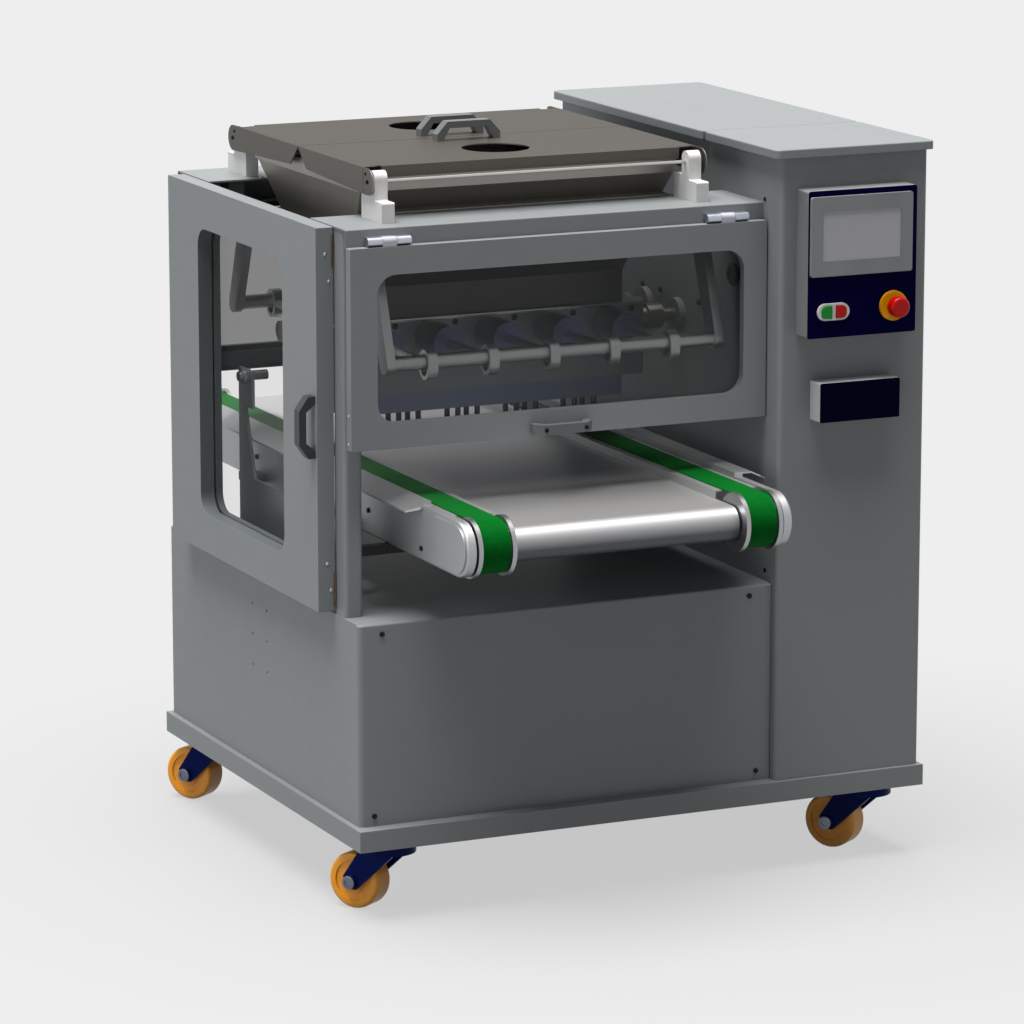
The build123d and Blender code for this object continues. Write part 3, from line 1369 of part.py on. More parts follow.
# Nameplate box: bare box below the controls
plate_left = tower_left + nameplate_left
plate_right = plate_left + nameplate_width
with BuildPart() as nameplate_box:
    block((plate_left, tower_front - nameplate_depth, nameplate_bottom),
          (plate_right, tower_front, nameplate_bottom + nameplate_height))
    fillet(nameplate_box.edges().filter_by(Axis.Y), nameplate_edge)
    block((plate_left + sheet, tower_front - nameplate_depth + sheet, nameplate_bottom + sheet),
          (plate_right - sheet, tower_front, nameplate_bottom + nameplate_height - sheet), mode=Mode.SUBTRACT)
save(nameplate_box, "nameplate_box")

# Panel screws: button-head screws of the lower front panel and of the conveyor plates
with BuildPart() as panel_screws:
    for screw_x, screw_z in panel_screw_spots:
        rod_along_y(screw_x, cab_front - screw_head_height, cab_front, screw_z, screw_head_diameter)
        rod_along_y(screw_x, cab_front, cab_front + screw_length, screw_z, screw_shank_diameter)
    for side in both_sides:
        outer = conveyor_x + side * plate_outer
        for end in both_sides:
            for screw_y, screw_rise in plate_screws:
                y = end * screw_y
                z = roller_z + screw_rise
                rod_along_x(outer, outer + side * screw_head_height, y, z, screw_head_diameter)
                rod_along_x(outer, outer - side * plate_screw_length, y, z, screw_shank_diameter)
save(panel_screws, "panel_screws")
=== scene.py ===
import bmesh
import bpy
from mathutils import Matrix, Vector


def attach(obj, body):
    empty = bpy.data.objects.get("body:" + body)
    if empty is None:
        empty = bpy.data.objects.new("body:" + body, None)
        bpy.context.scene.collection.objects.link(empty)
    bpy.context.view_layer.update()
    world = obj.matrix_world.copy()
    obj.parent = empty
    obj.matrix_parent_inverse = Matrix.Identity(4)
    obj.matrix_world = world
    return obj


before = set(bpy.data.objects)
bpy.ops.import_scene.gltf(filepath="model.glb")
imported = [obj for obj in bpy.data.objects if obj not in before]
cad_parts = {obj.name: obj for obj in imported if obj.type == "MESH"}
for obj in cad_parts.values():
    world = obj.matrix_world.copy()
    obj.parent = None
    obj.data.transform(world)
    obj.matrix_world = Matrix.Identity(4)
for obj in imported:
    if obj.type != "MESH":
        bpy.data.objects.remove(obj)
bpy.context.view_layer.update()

# Studio: a pale floor that carries the machine's soft shadow and runs out into a flat backdrop.
# One broad far lamp lights it from above at a plain level, a little from the left.
# A weak softbox low at the left lifts the shaded side.
bpy.context.scene.view_settings.view_transform = "Standard"
backdrop_level = 0.855


def seen(tree):
    """A mask that is 1 for what the camera sees, itself, in a reflection or through a pane."""
    path = tree.nodes.new("ShaderNodeLightPath")
    mask = path.outputs["Is Camera Ray"]
    for ray in ("Is Glossy Ray", "Is Transmission Ray"):
        either = tree.nodes.new("ShaderNodeMath")
        either.operation = "MAXIMUM"
        tree.links.new(mask, either.inputs[0])
        tree.links.new(path.outputs[ray], either.inputs[1])
        mask = either.outputs["Value"]
    return mask


floor_width = 60.0
shadow_middle = (0.20, 0.0, 0.0)
shadow_full = 0.95
shadow_gone = 1.55
bpy.ops.object.select_all(action="DESELECT")
bpy.ops.mesh.primitive_plane_add(size=floor_width, location=(0.0, 0.0, 0.0))
floor = bpy.context.object
floor.name = "studio_floor"
pale = bpy.data.materials.new("pale_floor")
pale.use_nodes = True
floor_tree = pale.node_tree
floor_tree.nodes.clear()
floor_out = floor_tree.nodes.new("ShaderNodeOutputMaterial")
floor_pick = floor_tree.nodes.new("ShaderNodeMixShader")
floor_fade = floor_tree.nodes.new("ShaderNodeMixShader")
floor_near = floor_tree.nodes.new("ShaderNodeAddShader")
floor_matte = floor_tree.nodes.new("ShaderNodeBsdfDiffuse")
floor_bounce = floor_tree.nodes.new("ShaderNodeBsdfDiffuse")
floor_glow = floor_tree.nodes.new("ShaderNodeEmission")
floor_far = floor_tree.nodes.new("ShaderNodeEmission")
floor_place = floor_tree.nodes.new("ShaderNodeTexCoord")
floor_shift = floor_tree.nodes.new("ShaderNodeVectorMath")
floor_reach = floor_tree.nodes.new("ShaderNodeVectorMath")
floor_range = floor_tree.nodes.new("ShaderNodeMapRange")
floor_seen = seen(floor_tree)
floor_shift.operation = "SUBTRACT"
floor_shift.inputs[1].default_value = shadow_middle
floor_reach.operation = "LENGTH"
floor_range.interpolation_type = "SMOOTHSTEP"
floor_range.inputs["From Min"].default_value = shadow_full
floor_range.inputs["From Max"].default_value = shadow_gone
floor_matte.inputs["Color"].default_value = (0.111, 0.115, 0.120, 1.0)
floor_bounce.inputs["Color"].default_value = (0.20, 0.20, 0.20, 1.0)
floor_glow.inputs["Strength"].default_value = 0.56
floor_far.inputs["Strength"].default_value = backdrop_level
for source, target in (
    (floor_place.outputs["Object"], floor_shift.inputs[0]),
    (floor_shift.outputs["Vector"], floor_reach.inputs[0]),
    (floor_reach.outputs["Value"], floor_range.inputs["Value"]),
    (floor_glow.outputs[0], floor_near.inputs[0]),
    (floor_matte.outputs[0], floor_near.inputs[1]),
    (floor_range.outputs["Result"], floor_fade.inputs[0]),
    (floor_near.outputs[0], floor_fade.inputs[1]),
    (floor_far.outputs[0], floor_fade.inputs[2]),
    (floor_seen, floor_pick.inputs[0]),
    (floor_bounce.outputs[0], floor_pick.inputs[1]),
    (floor_fade.outputs[0], floor_pick.inputs[2]),
    (floor_pick.outputs[0], floor_out.inputs[0]),
):
    floor_tree.links.new(source, target)
floor.data.materials.append(pale)

world = bpy.data.worlds.new("studio_air")
bpy.context.scene.world = world
world.use_nodes = True
air_tree = world.node_tree
air = air_tree.nodes["Background"]
air_backdrop = air_tree.nodes.new("ShaderNodeBackground")
air_pick = air_tree.nodes.new("ShaderNodeMixShader")
air_seen = seen(air_tree)
air.inputs["Color"].default_value = (0.96, 0.98, 1.0, 1.0)
air.inputs["Strength"].default_value = 0.16
air_backdrop.inputs["Color"].default_value = (1.0, 1.0, 1.0, 1.0)
air_backdrop.inputs["Strength"].default_value = backdrop_level
for source, target in (
    (air_seen, air_pick.inputs[0]),
    (air.outputs[0], air_pick.inputs[1]),
    (air_backdrop.outputs[0], air_pick.inputs[2]),
    (air_pick.outputs[0], air_tree.nodes["World Output"].inputs[0]),
):
    air_tree.links.new(source, target)

far_line = Vector((0.12, 0.0, -0.9928))
far_turn = far_line.to_track_quat("-Z", "Y").to_euler()
far_distance = 6.0
bpy.ops.object.select_all(action="DESELECT")
bpy.ops.object.light_add(type="SUN", location=far_line * -far_distance, rotation=far_turn)
far_lamp = bpy.context.object
far_lamp.name = "far_lamp"
far_lamp.data.energy = 6.8
far_lamp.data.angle = 0.75
far_lamp.data.color = (1.0, 0.955, 0.905)

left_place = Vector((-3.4, -0.7, 1.75))
left_aim = Vector((0.0, 0.0, 0.9))
left_turn = (left_aim - left_place).to_track_quat("-Z", "Y").to_euler()
bpy.ops.object.select_all(action="DESELECT")
bpy.ops.object.light_add(type="AREA", location=left_place, rotation=left_turn)
left_lamp = bpy.context.object
left_lamp.name = "left_lamp"
left_lamp.data.size = 2.4
left_lamp.data.energy = 22.0

camera_place = Vector((-3.7559, -8.1347, 2.4868))
camera_line = Vector((0.40791, 0.88927, -0.20691))
camera_turn = camera_line.to_track_quat("-Z", "Y").to_euler()
bpy.ops.object.select_all(action="DESELECT")
bpy.ops.object.camera_add(location=camera_place, rotation=camera_turn)
camera = bpy.context.object
camera.data.lens = 176.97
camera.data.sensor_width = 36.0
camera.data.clip_end = 100.0
bpy.context.scene.camera = camera


# Base tray: a welded pan of 4 mm sheet steel, powder coated grey like the rest of the body.
# The coat is satin, slightly uneven in tone, with a fine orange-peel surface.
def tone(red, green, blue):
    """Linear colour of a screen colour given in steps of 0 to 255."""
    return tuple((c / 255.0) ** 2.2 for c in (red, green, blue)) + (1.0,)


def lighter(colour, share):
    """A colour made lighter or darker by a share."""
    return tuple(min(1.0, c * share) for c in colour[:3]) + (1.0,)


def blank(name):
    """A new node material with its shader and the piece's Object coordinates."""
    material = bpy.data.materials.new(name)
    material.use_nodes = True
    shader = material.node_tree.nodes["Principled BSDF"]
    place = material.node_tree.nodes.new("ShaderNodeTexCoord")
    return material, shader, place.outputs["Object"]


def noise(material, place, scale, detail=2.0, stretch=None):
    """A noise pattern on the piece, in cells per metre, drawn out along an axis if asked."""
    tree = material.node_tree
    pattern = tree.nodes.new("ShaderNodeTexNoise")
    pattern.inputs["Scale"].default_value = scale
    pattern.inputs["Detail"].default_value = detail
    if stretch is None:
        tree.links.new(place, pattern.inputs["Vector"])
    else:
        mapping = tree.nodes.new("ShaderNodeMapping")
        mapping.inputs["Scale"].default_value = stretch
        tree.links.new(place, mapping.inputs["Vector"])
        tree.links.new(mapping.outputs["Vector"], pattern.inputs["Vector"])
    return pattern.outputs["Fac"]


def shade_by(material, value, low, high, socket):
    """Drive a shader socket between two colours or two numbers by a pattern."""
    tree = material.node_tree
    start = 0.3
    stop = 0.7
    if isinstance(low, tuple):
        ramp = tree.nodes.new("ShaderNodeValToRGB")
        ramp.color_ramp.elements[0].position = start
        ramp.color_ramp.elements[1].position = stop
        ramp.color_ramp.elements[0].color = low
        ramp.color_ramp.elements[1].color = high
        tree.links.new(value, ramp.inputs["Fac"])
        tree.links.new(ramp.outputs["Color"], socket)
    else:
        span = tree.nodes.new("ShaderNodeMapRange")
        span.inputs["From Min"].default_value = start
        span.inputs["From Max"].default_value = stop
        span.inputs["To Min"].default_value = low
        span.inputs["To Max"].default_value = high
        tree.links.new(value, span.inputs["Value"])
        tree.links.new(span.outputs["Result"], socket)


def roughen(material, shader, value, strength, depth):
    """Bump the surface by a pattern, with its depth in metres."""
    tree = material.node_tree
    bump = tree.nodes.new("ShaderNodeBump")
    bump.inputs["Strength"].default_value = strength
    bump.inputs["Distance"].default_value = depth
    tree.links.new(value, bump.inputs["Height"])
    tree.links.new(bump.outputs["Normal"], shader.inputs["Normal"])


def powder_coat(name, colour, gloss=0.44, peel=0.06, shine=0.22):
    """Powder-coated sheet: cloudy tone, satin gloss that wanders, fine orange peel."""
    material, shader, place = blank(name)
    shader.inputs["Specular IOR Level"].default_value = shine
    cloud = noise(material, place, 2.4, 5.0)
    shade_by(material, cloud, lighter(colour, 0.985), lighter(colour, 1.015), shader.inputs["Base Color"])
    patches = noise(material, place, 30.0, 3.0)
    shade_by(material, patches, gloss - 0.02, gloss + 0.02, shader.inputs["Roughness"])
    orange_peel = noise(material, place, 620.0, 2.0)
    roughen(material, shader, orange_peel, peel, 0.0004)
    return material


def dress(material, *nodes):
    """Give CAD nodes their finish."""
    for node in nodes:
        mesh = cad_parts[node].data
        mesh.materials.clear()
        mesh.materials.append(material)


body_grey = tone(124, 129, 133)
body_paint = powder_coat("body_grey_paint", body_grey)
dress(body_paint, "base_tray")

# Casters: pressed steel forks in blue paint under a swivel crown, with a round-headed axle.
# The wheels are cast in amber polyurethane, slightly clouded in tone.
fork_paint = powder_coat("fork_blue_paint", tone(8, 27, 88), gloss=0.24, shine=0.05)
amber, amber_shader, amber_place = blank("amber_polyurethane")
amber_shader.inputs["Subsurface Weight"].default_value = 0.12
amber_shader.inputs["Subsurface Radius"].default_value = (0.004, 0.002, 0.0005)
amber_shader.inputs["Roughness"].default_value = 0.34
amber_cloud = noise(amber, amber_place, 28.0, 4.0)
shade_by(amber, amber_cloud, tone(232, 152, 34), tone(244, 166, 46), amber_shader.inputs["Base Color"])
amber_grain = noise(amber, amber_place, 260.0, 3.0)
roughen(amber, amber_shader, amber_grain, 0.12, 0.0006)
for corner in ("front_left", "front_right", "rear_left", "rear_right"):
    dress(fork_paint, f"caster_fork_{corner}")
    dress(amber, f"caster_wheel_{corner}")


# Axle caps: zinc-plated caps pressed over the two ends of each caster axle.
# Each is a turned disc with a rounded rim and a shallow round hollow in its face.
def satin_metal(name, colour, gloss=0.34, edge=1.0, stroke=(3.0, 700.0, 700.0), relief=0.012, bare=1.0):
    """Satin metal with faint long strokes.

    The edge value is the share of light kept at a low glance, and bare says how metallic it looks.
    """
    material, shader, place = blank(name)
    shader.inputs["Metallic"].default_value = bare
    shader.inputs["Specular Tint"].default_value = (edge, edge, edge, 1.0)
    strokes = noise(material, place, 1.0, 4.0, stroke)
    shade_by(material, strokes, lighter(colour, 0.97), lighter(colour, 1.03), shader.inputs["Base Color"])
    shade_by(material, strokes, gloss - 0.02, gloss + 0.03, shader.inputs["Roughness"])
    roughen(material, shader, strokes, relief, 0.00015)
    return material


def select_top(piece):
    """Select the faces of a piece in edit mode that look upward."""
    mesh = bmesh.from_edit_mesh(piece.data)
    for face in mesh.faces:
        face.select_set(face.normal.z > 0.9)
    bmesh.update_edit_mesh(piece.data)


def start_turning(sides, radius, height):
    """Stand a round blank on the floor of its own space, in edit mode with its top selected."""
    bpy.ops.object.select_all(action="DESELECT")
    bpy.ops.mesh.primitive_cylinder_add(vertices=sides, radius=radius, depth=height,
                                        location=(0.0, 0.0, height / 2))
    turned = bpy.context.object
    bpy.ops.object.transform_apply(location=True, rotation=True, scale=True)
    bpy.ops.object.mode_set(mode="EDIT")
    bpy.ops.mesh.select_mode(type="FACE")
    select_top(turned)
    return turned


def step_straight(rise):
    """Raise or sink the selected faces on straight walls."""
    bpy.ops.mesh.extrude_region_move(TRANSFORM_OT_translate={"value": (0.0, 0.0, rise)})


def end_shaping():
    """Leave edit mode, with crisp edges and smooth rounds."""
    bpy.ops.object.mode_set(mode="OBJECT")
    bpy.ops.object.shade_smooth_by_angle(angle=0.6)


def at(x, y, z):
    """Place on the machine, in millimetres from the middle of the base tray, as metres of the model."""
    tray_middle = 26.0
    return Vector((x + tray_middle, y, z)) / 1000.0


def fit_at(place, direction):
    """The move of a turned piece to its place, with its top towards a direction."""
    lean = Vector((0.0, 0.0, 1.0)).rotation_difference(Vector(direction))
    return Matrix.Translation(at(*place)) @ lean.to_matrix().to_4x4()


def settle(piece, name, material, body):
    """Name a finished piece, dress it and let it ride on its body."""
    piece.name = name
    piece.data.name = name
    piece.data.materials.clear()
    piece.data.materials.append(material)
    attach(piece, body)


def fit_copies(master, name, material, body, direction, places):
    """Copy a turned piece to its places, each copy with its own mesh."""
    for count, place in enumerate(places, 1):
        piece = master.copy()
        piece.data = master.data.copy()
        bpy.context.collection.objects.link(piece)
        piece.data.transform(fit_at(place, direction))
        settle(piece, f"{name}_{count}", material, body)


cap_steel = satin_metal("axle_cap_steel", tone(104, 110, 122), 0.38, stroke=(90.0, 90.0, 90.0))
cap = start_turning(36, radius=0.012, height=0.008)
bpy.ops.mesh.inset(thickness=0.0012, depth=0.0007)
bpy.ops.mesh.inset(thickness=0.0042, depth=0.0)
step_straight(-0.0012)
end_shaping()
caster_x = 468.0
caster_y = 398.0
axle_from_pin = Vector((-33.6, 49.7, 50.0))
axle_line = Vector((0.829, 0.559, 0.0))
axle_half = 30.5
for corner, across, back in (("front_left", -1, -1), ("front_right", 1, -1),
                             ("rear_left", -1, 1), ("rear_right", 1, 1)):
    axle_middle = Vector((across * caster_x, back * caster_y, 0.0)) + axle_from_pin
    for end, outward in (("outer", -axle_line), ("inner", axle_line)):
        fit_copies(cap, f"axle_cap_{corner}_{end}", cap_steel, f"caster_fork_{corner}", outward,
                   [axle_middle + outward * axle_half])

# Lower cabinet and its front panel: folded sheet in the same grey coat, screwed together.
# The screws here and on the conveyor plates are black button heads.
dress(body_paint, "lower_cabinet", "lower_front_panel")
black_oxide, oxide_shader, oxide_place = blank("black_oxide_steel")
oxide_shader.inputs["Specular IOR Level"].default_value = 0.15
oxide_shader.inputs["Roughness"].default_value = 0.5
oxide_speckle = noise(black_oxide, oxide_place, 400.0)
shade_by(black_oxide, oxide_speckle, tone(14, 14, 16), tone(34, 34, 38), oxide_shader.inputs["Base Color"])
dress(black_oxide, "panel_screws")


# Upper frame: two rounded posts at the left carry a folded ledge at the front and at the rear.
# The bars that bear the conveyor end at the control cabinet; their dark tone is painted shade from the
# conveyor above.
def inside(material, **limits):
    """A mask that is 1 where the piece lies between two places, in metres, on each axis named."""
    tree = material.node_tree
    split = tree.nodes.new("ShaderNodeSeparateXYZ")
    tree.links.new(tree.nodes["Texture Coordinate"].outputs["Object"], split.inputs["Vector"])
    mask = None
    for axis, (low, high) in limits.items():
        band = tree.nodes.new("ShaderNodeMath")
        band.operation = "COMPARE"
        band.inputs[1].default_value = (low + high) / 2
        band.inputs[2].default_value = (high - low) / 2
        tree.links.new(split.outputs[axis], band.inputs[0])
        if mask is None:
            mask = band.outputs["Value"]
        else:
            both = tree.nodes.new("ShaderNodeMath")
            both.operation = "MULTIPLY"
            tree.links.new(mask, both.inputs[0])
            tree.links.new(band.outputs["Value"], both.inputs[1])
            mask = both.outputs["Value"]
    return mask


def overlay(material, mask, colour):
    """Lay a colour over a finish where a mask is 1."""
    tree = material.node_tree
    socket = tree.nodes["Principled BSDF"].inputs["Base Color"]
    mix = tree.nodes.new("ShaderNodeMix")
    mix.data_type = "RGBA"
    share = mix.inputs[0]
    below = mix.inputs[6]
    above = mix.inputs[7]
    mixed = mix.outputs[2]
    above.default_value = colour
    tree.links.new(socket.links[0].from_socket, below)
    tree.links.new(mask, share)
    tree.links.new(mixed, socket)


dress(body_paint, "top_ledges")
bar_shade_span = (-0.4775, 0.30)
post_coat_with_bar_shade = powder_coat("post_coat_with_bar_shade", body_grey)
# Painted shade: the conveyor bars on the posts are toned nearly black, as they lie in shade under the
# conveyor.
overlay(post_coat_with_bar_shade, inside(post_coat_with_bar_shade, X=bar_shade_span), tone(16, 17, 20))
dress(post_coat_with_bar_shade, "corner_posts")


# Control cabinet: a tall shell of sheet steel with a lid in two parts that meet at a seam.
# It stands on the base tray, welded to the lower cabinet, and wears the same coat.
# One strip is welded in under the seam, and another closes the corner to the lower cabinet behind it.
def pressed_strip(middle, size, edge):
    """Model a strip around its middle, with edges rounded by the width given."""
    bpy.ops.object.select_all(action="DESELECT")
    bpy.ops.mesh.primitive_cube_add(size=1.0, location=middle)
    strip = bpy.context.object
    strip.scale = size
    bpy.ops.object.transform_apply(location=True, rotation=True, scale=True)
    bpy.ops.object.mode_set(mode="EDIT")
    bpy.ops.mesh.select_all(action="SELECT")
    bpy.ops.mesh.bevel(offset=edge, segments=3, affect="EDGES")
    end_shaping()
    return strip


dress(body_paint, "tower_cabinet", "tower_lids")
seam_size = (0.3124, 0.0012, 0.0132)
seam_strip = pressed_strip(at(393.0, -191.0, 1290.6), seam_size, 0.0003)
settle(seam_strip, "tower_lid_backing", body_paint, "machine")
corner_size = (0.003, 0.0218, 0.353)
corner_strip = pressed_strip(at(250.5, 448.0, 343.5), corner_size, 0.0004)
settle(corner_strip, "rear_corner_strip", body_paint, "machine")


# Screw heads: black and zinc button heads that hold the sheets, the handles and the valve body.
# Each is turned from bar, domed, and has a round socket pressed into its top.
# Two screws and three bolts sit in the inner wall of the control cabinet.
def turned_head(radius, height):
    """Model one button head by shares of its radius and height."""
    rim = 0.5
    dome_steps = ((0.10, 0.22), (0.18, 0.18), (0.20, 0.10))
    socket_edge = 0.12
    socket_depth = 0.5
    head = start_turning(28, radius, height * rim)
    for inward, upward in dome_steps:
        select_top(head)
        bpy.ops.mesh.inset(thickness=radius * inward, depth=height * upward)
    select_top(head)
    bpy.ops.mesh.inset(thickness=radius * socket_edge, depth=0.0)
    step_straight(-height * socket_depth)
    end_shaping()
    return head


small_head = turned_head(0.0029, 0.0016)
plain_head = turned_head(0.0040, 0.0024)
clamp_head = turned_head(0.0055, 0.0050)
tower_wall = 252
bolt_height = 982
fit_copies(plain_head, "tower_wall_screw", black_oxide, "machine", (-1, 0, 0),
           [(tower_wall, -415, 542), (tower_wall, -401, 1203)])
fit_copies(clamp_head, "tower_wall_bolt", black_oxide, "machine", (-1, 0, 0),
           [(tower_wall, y, bolt_height) for y in (80, 6, -150)])

# Drive port: a dark turned flange in the inner wall of the control cabinet, beside the head.
# It is a ring with a stepped face, let into the sheet and held from inside.
port = start_turning(48, radius=0.021, height=0.003)
bpy.ops.mesh.inset(thickness=0.0015, depth=0.0015)
bpy.ops.mesh.inset(thickness=0.006, depth=0.0)
step_straight(0.004)
bpy.ops.mesh.inset(thickness=0.0012, depth=0.0010)
bpy.ops.mesh.inset(thickness=0.005, depth=0.0)
step_straight(-0.005)
end_shaping()
port.data.transform(fit_at((tower_wall, -285, 1053), (-1, 0, 0)))
settle(port, "drive_port", black_oxide, "machine")


# Conveyor: two satin alloy plates carry a folded stainless bed with rolled noses, with painted shade under
# the noses.
# Green belts run over flanged pulleys, and a barrel sensor watches for the tray.
def along(material, axis, start, stop):
    """A mask that grows from 0 to 1 between two places on one axis, in metres."""
    tree = material.node_tree
    split = tree.nodes.new("ShaderNodeSeparateXYZ")
    ramp = tree.nodes.new("ShaderNodeMapRange")
    ramp.inputs["From Min"].default_value = start
    ramp.inputs["From Max"].default_value = stop
    tree.links.new(tree.nodes["Texture Coordinate"].outputs["Object"], split.inputs["Vector"])
    tree.links.new(split.outputs[axis], ramp.inputs["Value"])
    return ramp.outputs["Result"]


nose_shade_start = 0.708
nose_shade_full = 0.678
plate_alloy = satin_metal("plate_alloy", tone(166, 168, 171), 0.46, stroke=(600.0, 3.0, 600.0))
bed_steel = satin_metal("bed_stainless", tone(186, 187, 189), 0.42, bare=0.9)
# Painted shade: the bed darkens from the top of its rolled noses down to their undersides.
overlay(bed_steel, along(bed_steel, "Z", nose_shade_start, nose_shade_full), tone(82, 84, 88))
pulley_alloy = satin_metal("pulley_alloy", tone(158, 160, 163), 0.32, stroke=(900.0, 900.0, 900.0),
                           relief=0.0)
sensor_steel = satin_metal("sensor_stainless", tone(150, 152, 156), 0.40)
dress(plate_alloy, "conveyor_sides")
dress(bed_steel, "conveyor_bed")
dress(pulley_alloy, "front_roller", "rear_roller")
dress(sensor_steel, "tray_sensor")
belt_green, belt_shader, belt_place = blank("green_belt_rubber")
belt_shader.inputs["Roughness"].default_value = 0.30
belt_shader.inputs["Specular IOR Level"].default_value = 0.01
belt_streaks = noise(belt_green, belt_place, 90.0, 4.0, (1.0, 6.0, 1.0))
shade_by(belt_green, belt_streaks, tone(12, 84, 30), tone(16, 92, 36), belt_shader.inputs["Base Color"])
belt_grain = noise(belt_green, belt_place, 700.0, 2.0)
roughen(belt_green, belt_shader, belt_grain, 0.03, 0.0003)
dress(belt_green, "conveyor_belts")


# Depositing head: a machined alloy valve body with a row of dosing cylinders on either side.
# Rocker frames of stainless bar drive the light piston eyes, and a nozzle beam hangs below.
# The outer ends of the cylinders are blue-grey, and the drive unit is a painted casting.
def moulded(name, colour, gloss=0.45):
    """Moulded plastic: even colour with a fine leathery grain."""
    material, shader, place = blank(name)
    shader.inputs["Roughness"].default_value = gloss
    shader.inputs["Specular IOR Level"].default_value = 0.2
    cloud = noise(material, place, 14.0, 3.0)
    shade_by(material, cloud, lighter(colour, 0.94), lighter(colour, 1.05), shader.inputs["Base Color"])
    leather = noise(material, place, 900.0, 2.0)
    roughen(material, shader, leather, 0.10, 0.0003)
    return material


body_alloy = satin_metal("machined_alloy", tone(116, 119, 123), 0.42, stroke=(600.0, 6.0, 600.0))
beam_alloy = satin_metal("blue_grey_alloy", tone(108, 114, 134), 0.44)
rocker_steel = satin_metal("rocker_stainless", tone(184, 185, 186), 0.38)
spool_steel = satin_metal("spool_stainless", tone(148, 142, 136), 0.30, stroke=(600.0, 5.0, 5.0))
# Painted shade: the nozzle steel is toned dark for the shade it lies in under the beam.
nozzle_shaded_steel = satin_metal("nozzle_stainless", tone(74, 76, 80), 0.36, stroke=(600.0, 600.0, 5.0))
bearing_grey = moulded("bearing_polymer", tone(112, 114, 117), 0.5)
cylinder_alloy = satin_metal("cylinder_alloy", tone(134, 137, 142), 0.32, stroke=(8.0, 600.0, 8.0))
for cylinder_end in ((-0.19, -0.177), (0.177, 0.19)):
    overlay(cylinder_alloy, inside(cylinder_alloy, Y=cylinder_end), tone(92, 98, 124))
cast_paint = powder_coat("drive_casting_paint", tone(92, 98, 104), gloss=0.5, peel=0.4)
dress(body_alloy, "valve_body")
dress(cylinder_alloy, "cylinders")
dress(beam_alloy, "nozzle_beam")
dress(rocker_steel, "rocker_front", "rocker_rear", "piston_rods_front", "piston_rods_rear")
dress(spool_steel, "valve_spool_front", "valve_spool_rear")
dress(nozzle_shaded_steel, "nozzles")
dress(bearing_grey, "shaft_bearings")
dress(cast_paint, "drive_unit")
valve_face = 96
clamp_height = 971
clamp_row = (-321, -205.5, -90, 25.5, 141)
for row, side in (("front", -1), ("rear", 1)):
    fit_copies(clamp_head, f"valve_clamp_{row}", black_oxide, "machine", (0, side, 0),
               [(x, side * valve_face, clamp_height) for x in clamp_row])

# Valve highlight strips: a bright strip along the upper front and rear edge of the valve body, a painted
# highlight where that edge catches the light.
# Each is a thin polished bar with rounded edges, fixed to the face of the body above the clamp bolts.
bright_steel = satin_metal("bright_rod_steel", tone(186, 184, 179), 0.26)
highlight_strip_size = (0.607, 0.0025, 0.006)
valve_middle = -137.5
highlight_strip_y = 97.25
highlight_strip_z = 980.5
for row, side in (("front", -1), ("rear", 1)):
    highlight_strip = pressed_strip(at(valve_middle, side * highlight_strip_y, highlight_strip_z),
                                highlight_strip_size, 0.0009)
    settle(highlight_strip, f"valve_highlight_strip_{row}", bright_steel, "machine")

# Hopper: a funnel of satin stainless sheet, with painted shade below its rim band, rests by its flanges on
# the ledges.
# Two lid leaves of dull sheet turn on rods held in white plastic saddle blocks.
# A rubber seal under each leaf meets the funnel's rim; black rivets and rod caps finish the ends.
funnel_shade_start = 1.215
funnel_shade_full = 1.170
leaf_lip_shade = (-0.2935, -0.2912)
funnel_steel = satin_metal("funnel_stainless", tone(164, 161, 155), 0.44, 0.80, bare=0.70)
# Painted shade: the funnel darkens below its rim band, where its walls recede into shade.
overlay(funnel_steel, along(funnel_steel, "Z", funnel_shade_start, funnel_shade_full), tone(92, 91, 86))
leaf_steel = satin_metal("leaf_stainless", tone(124, 122, 118), 0.42, 0.30)
# Painted shade: the sloped front lip of each leaf is toned darker, for the dimmer light it reflects.
overlay(leaf_steel, inside(leaf_steel, Y=leaf_lip_shade), tone(84, 81, 77))
white_block = moulded("white_polymer", tone(212, 213, 214), 0.5)
grey_nylon = moulded("grey_nylon", tone(98, 101, 103))
seal_rubber = moulded("seal_rubber", tone(34, 34, 36), 0.6)
dress(funnel_steel, "hopper")
dress(leaf_steel, "hopper_lid_front", "hopper_lid_rear")
dress(bright_steel, "lid_hinge_rods")
dress(white_block, "saddle_blocks")
dress(grey_nylon, "lid_handle_front", "lid_handle_rear")
lid_middle = -146.0
leaf_left = -464
leaf_right = 172
seal_size = (0.592, 0.004, 0.0216)
seal_y = 237.0
seal_z = 1274.0
rivet_y = 303
rivet_z = 1277
rod_y = 311
rod_z = 1264
for leaf, side in (("lid_front", -1), ("lid_rear", 1)):
    seal = pressed_strip(at(lid_middle, side * seal_y, seal_z), seal_size, 0.0008)
    settle(seal, f"{leaf}_seal", seal_rubber, leaf)
    for end, skirt, outward in (("left", leaf_left, -1), ("right", leaf_right, 1)):
        fit_copies(small_head, f"{leaf}_rivet_{end}", black_oxide, leaf, (outward, 0, 0),
                   [(skirt, side * rivet_y, rivet_z)])
        fit_copies(plain_head, f"{leaf}_rod_cap_{end}", black_oxide, "machine",
                   (outward, 0, 0), [(skirt, side * rod_y, rod_z)])


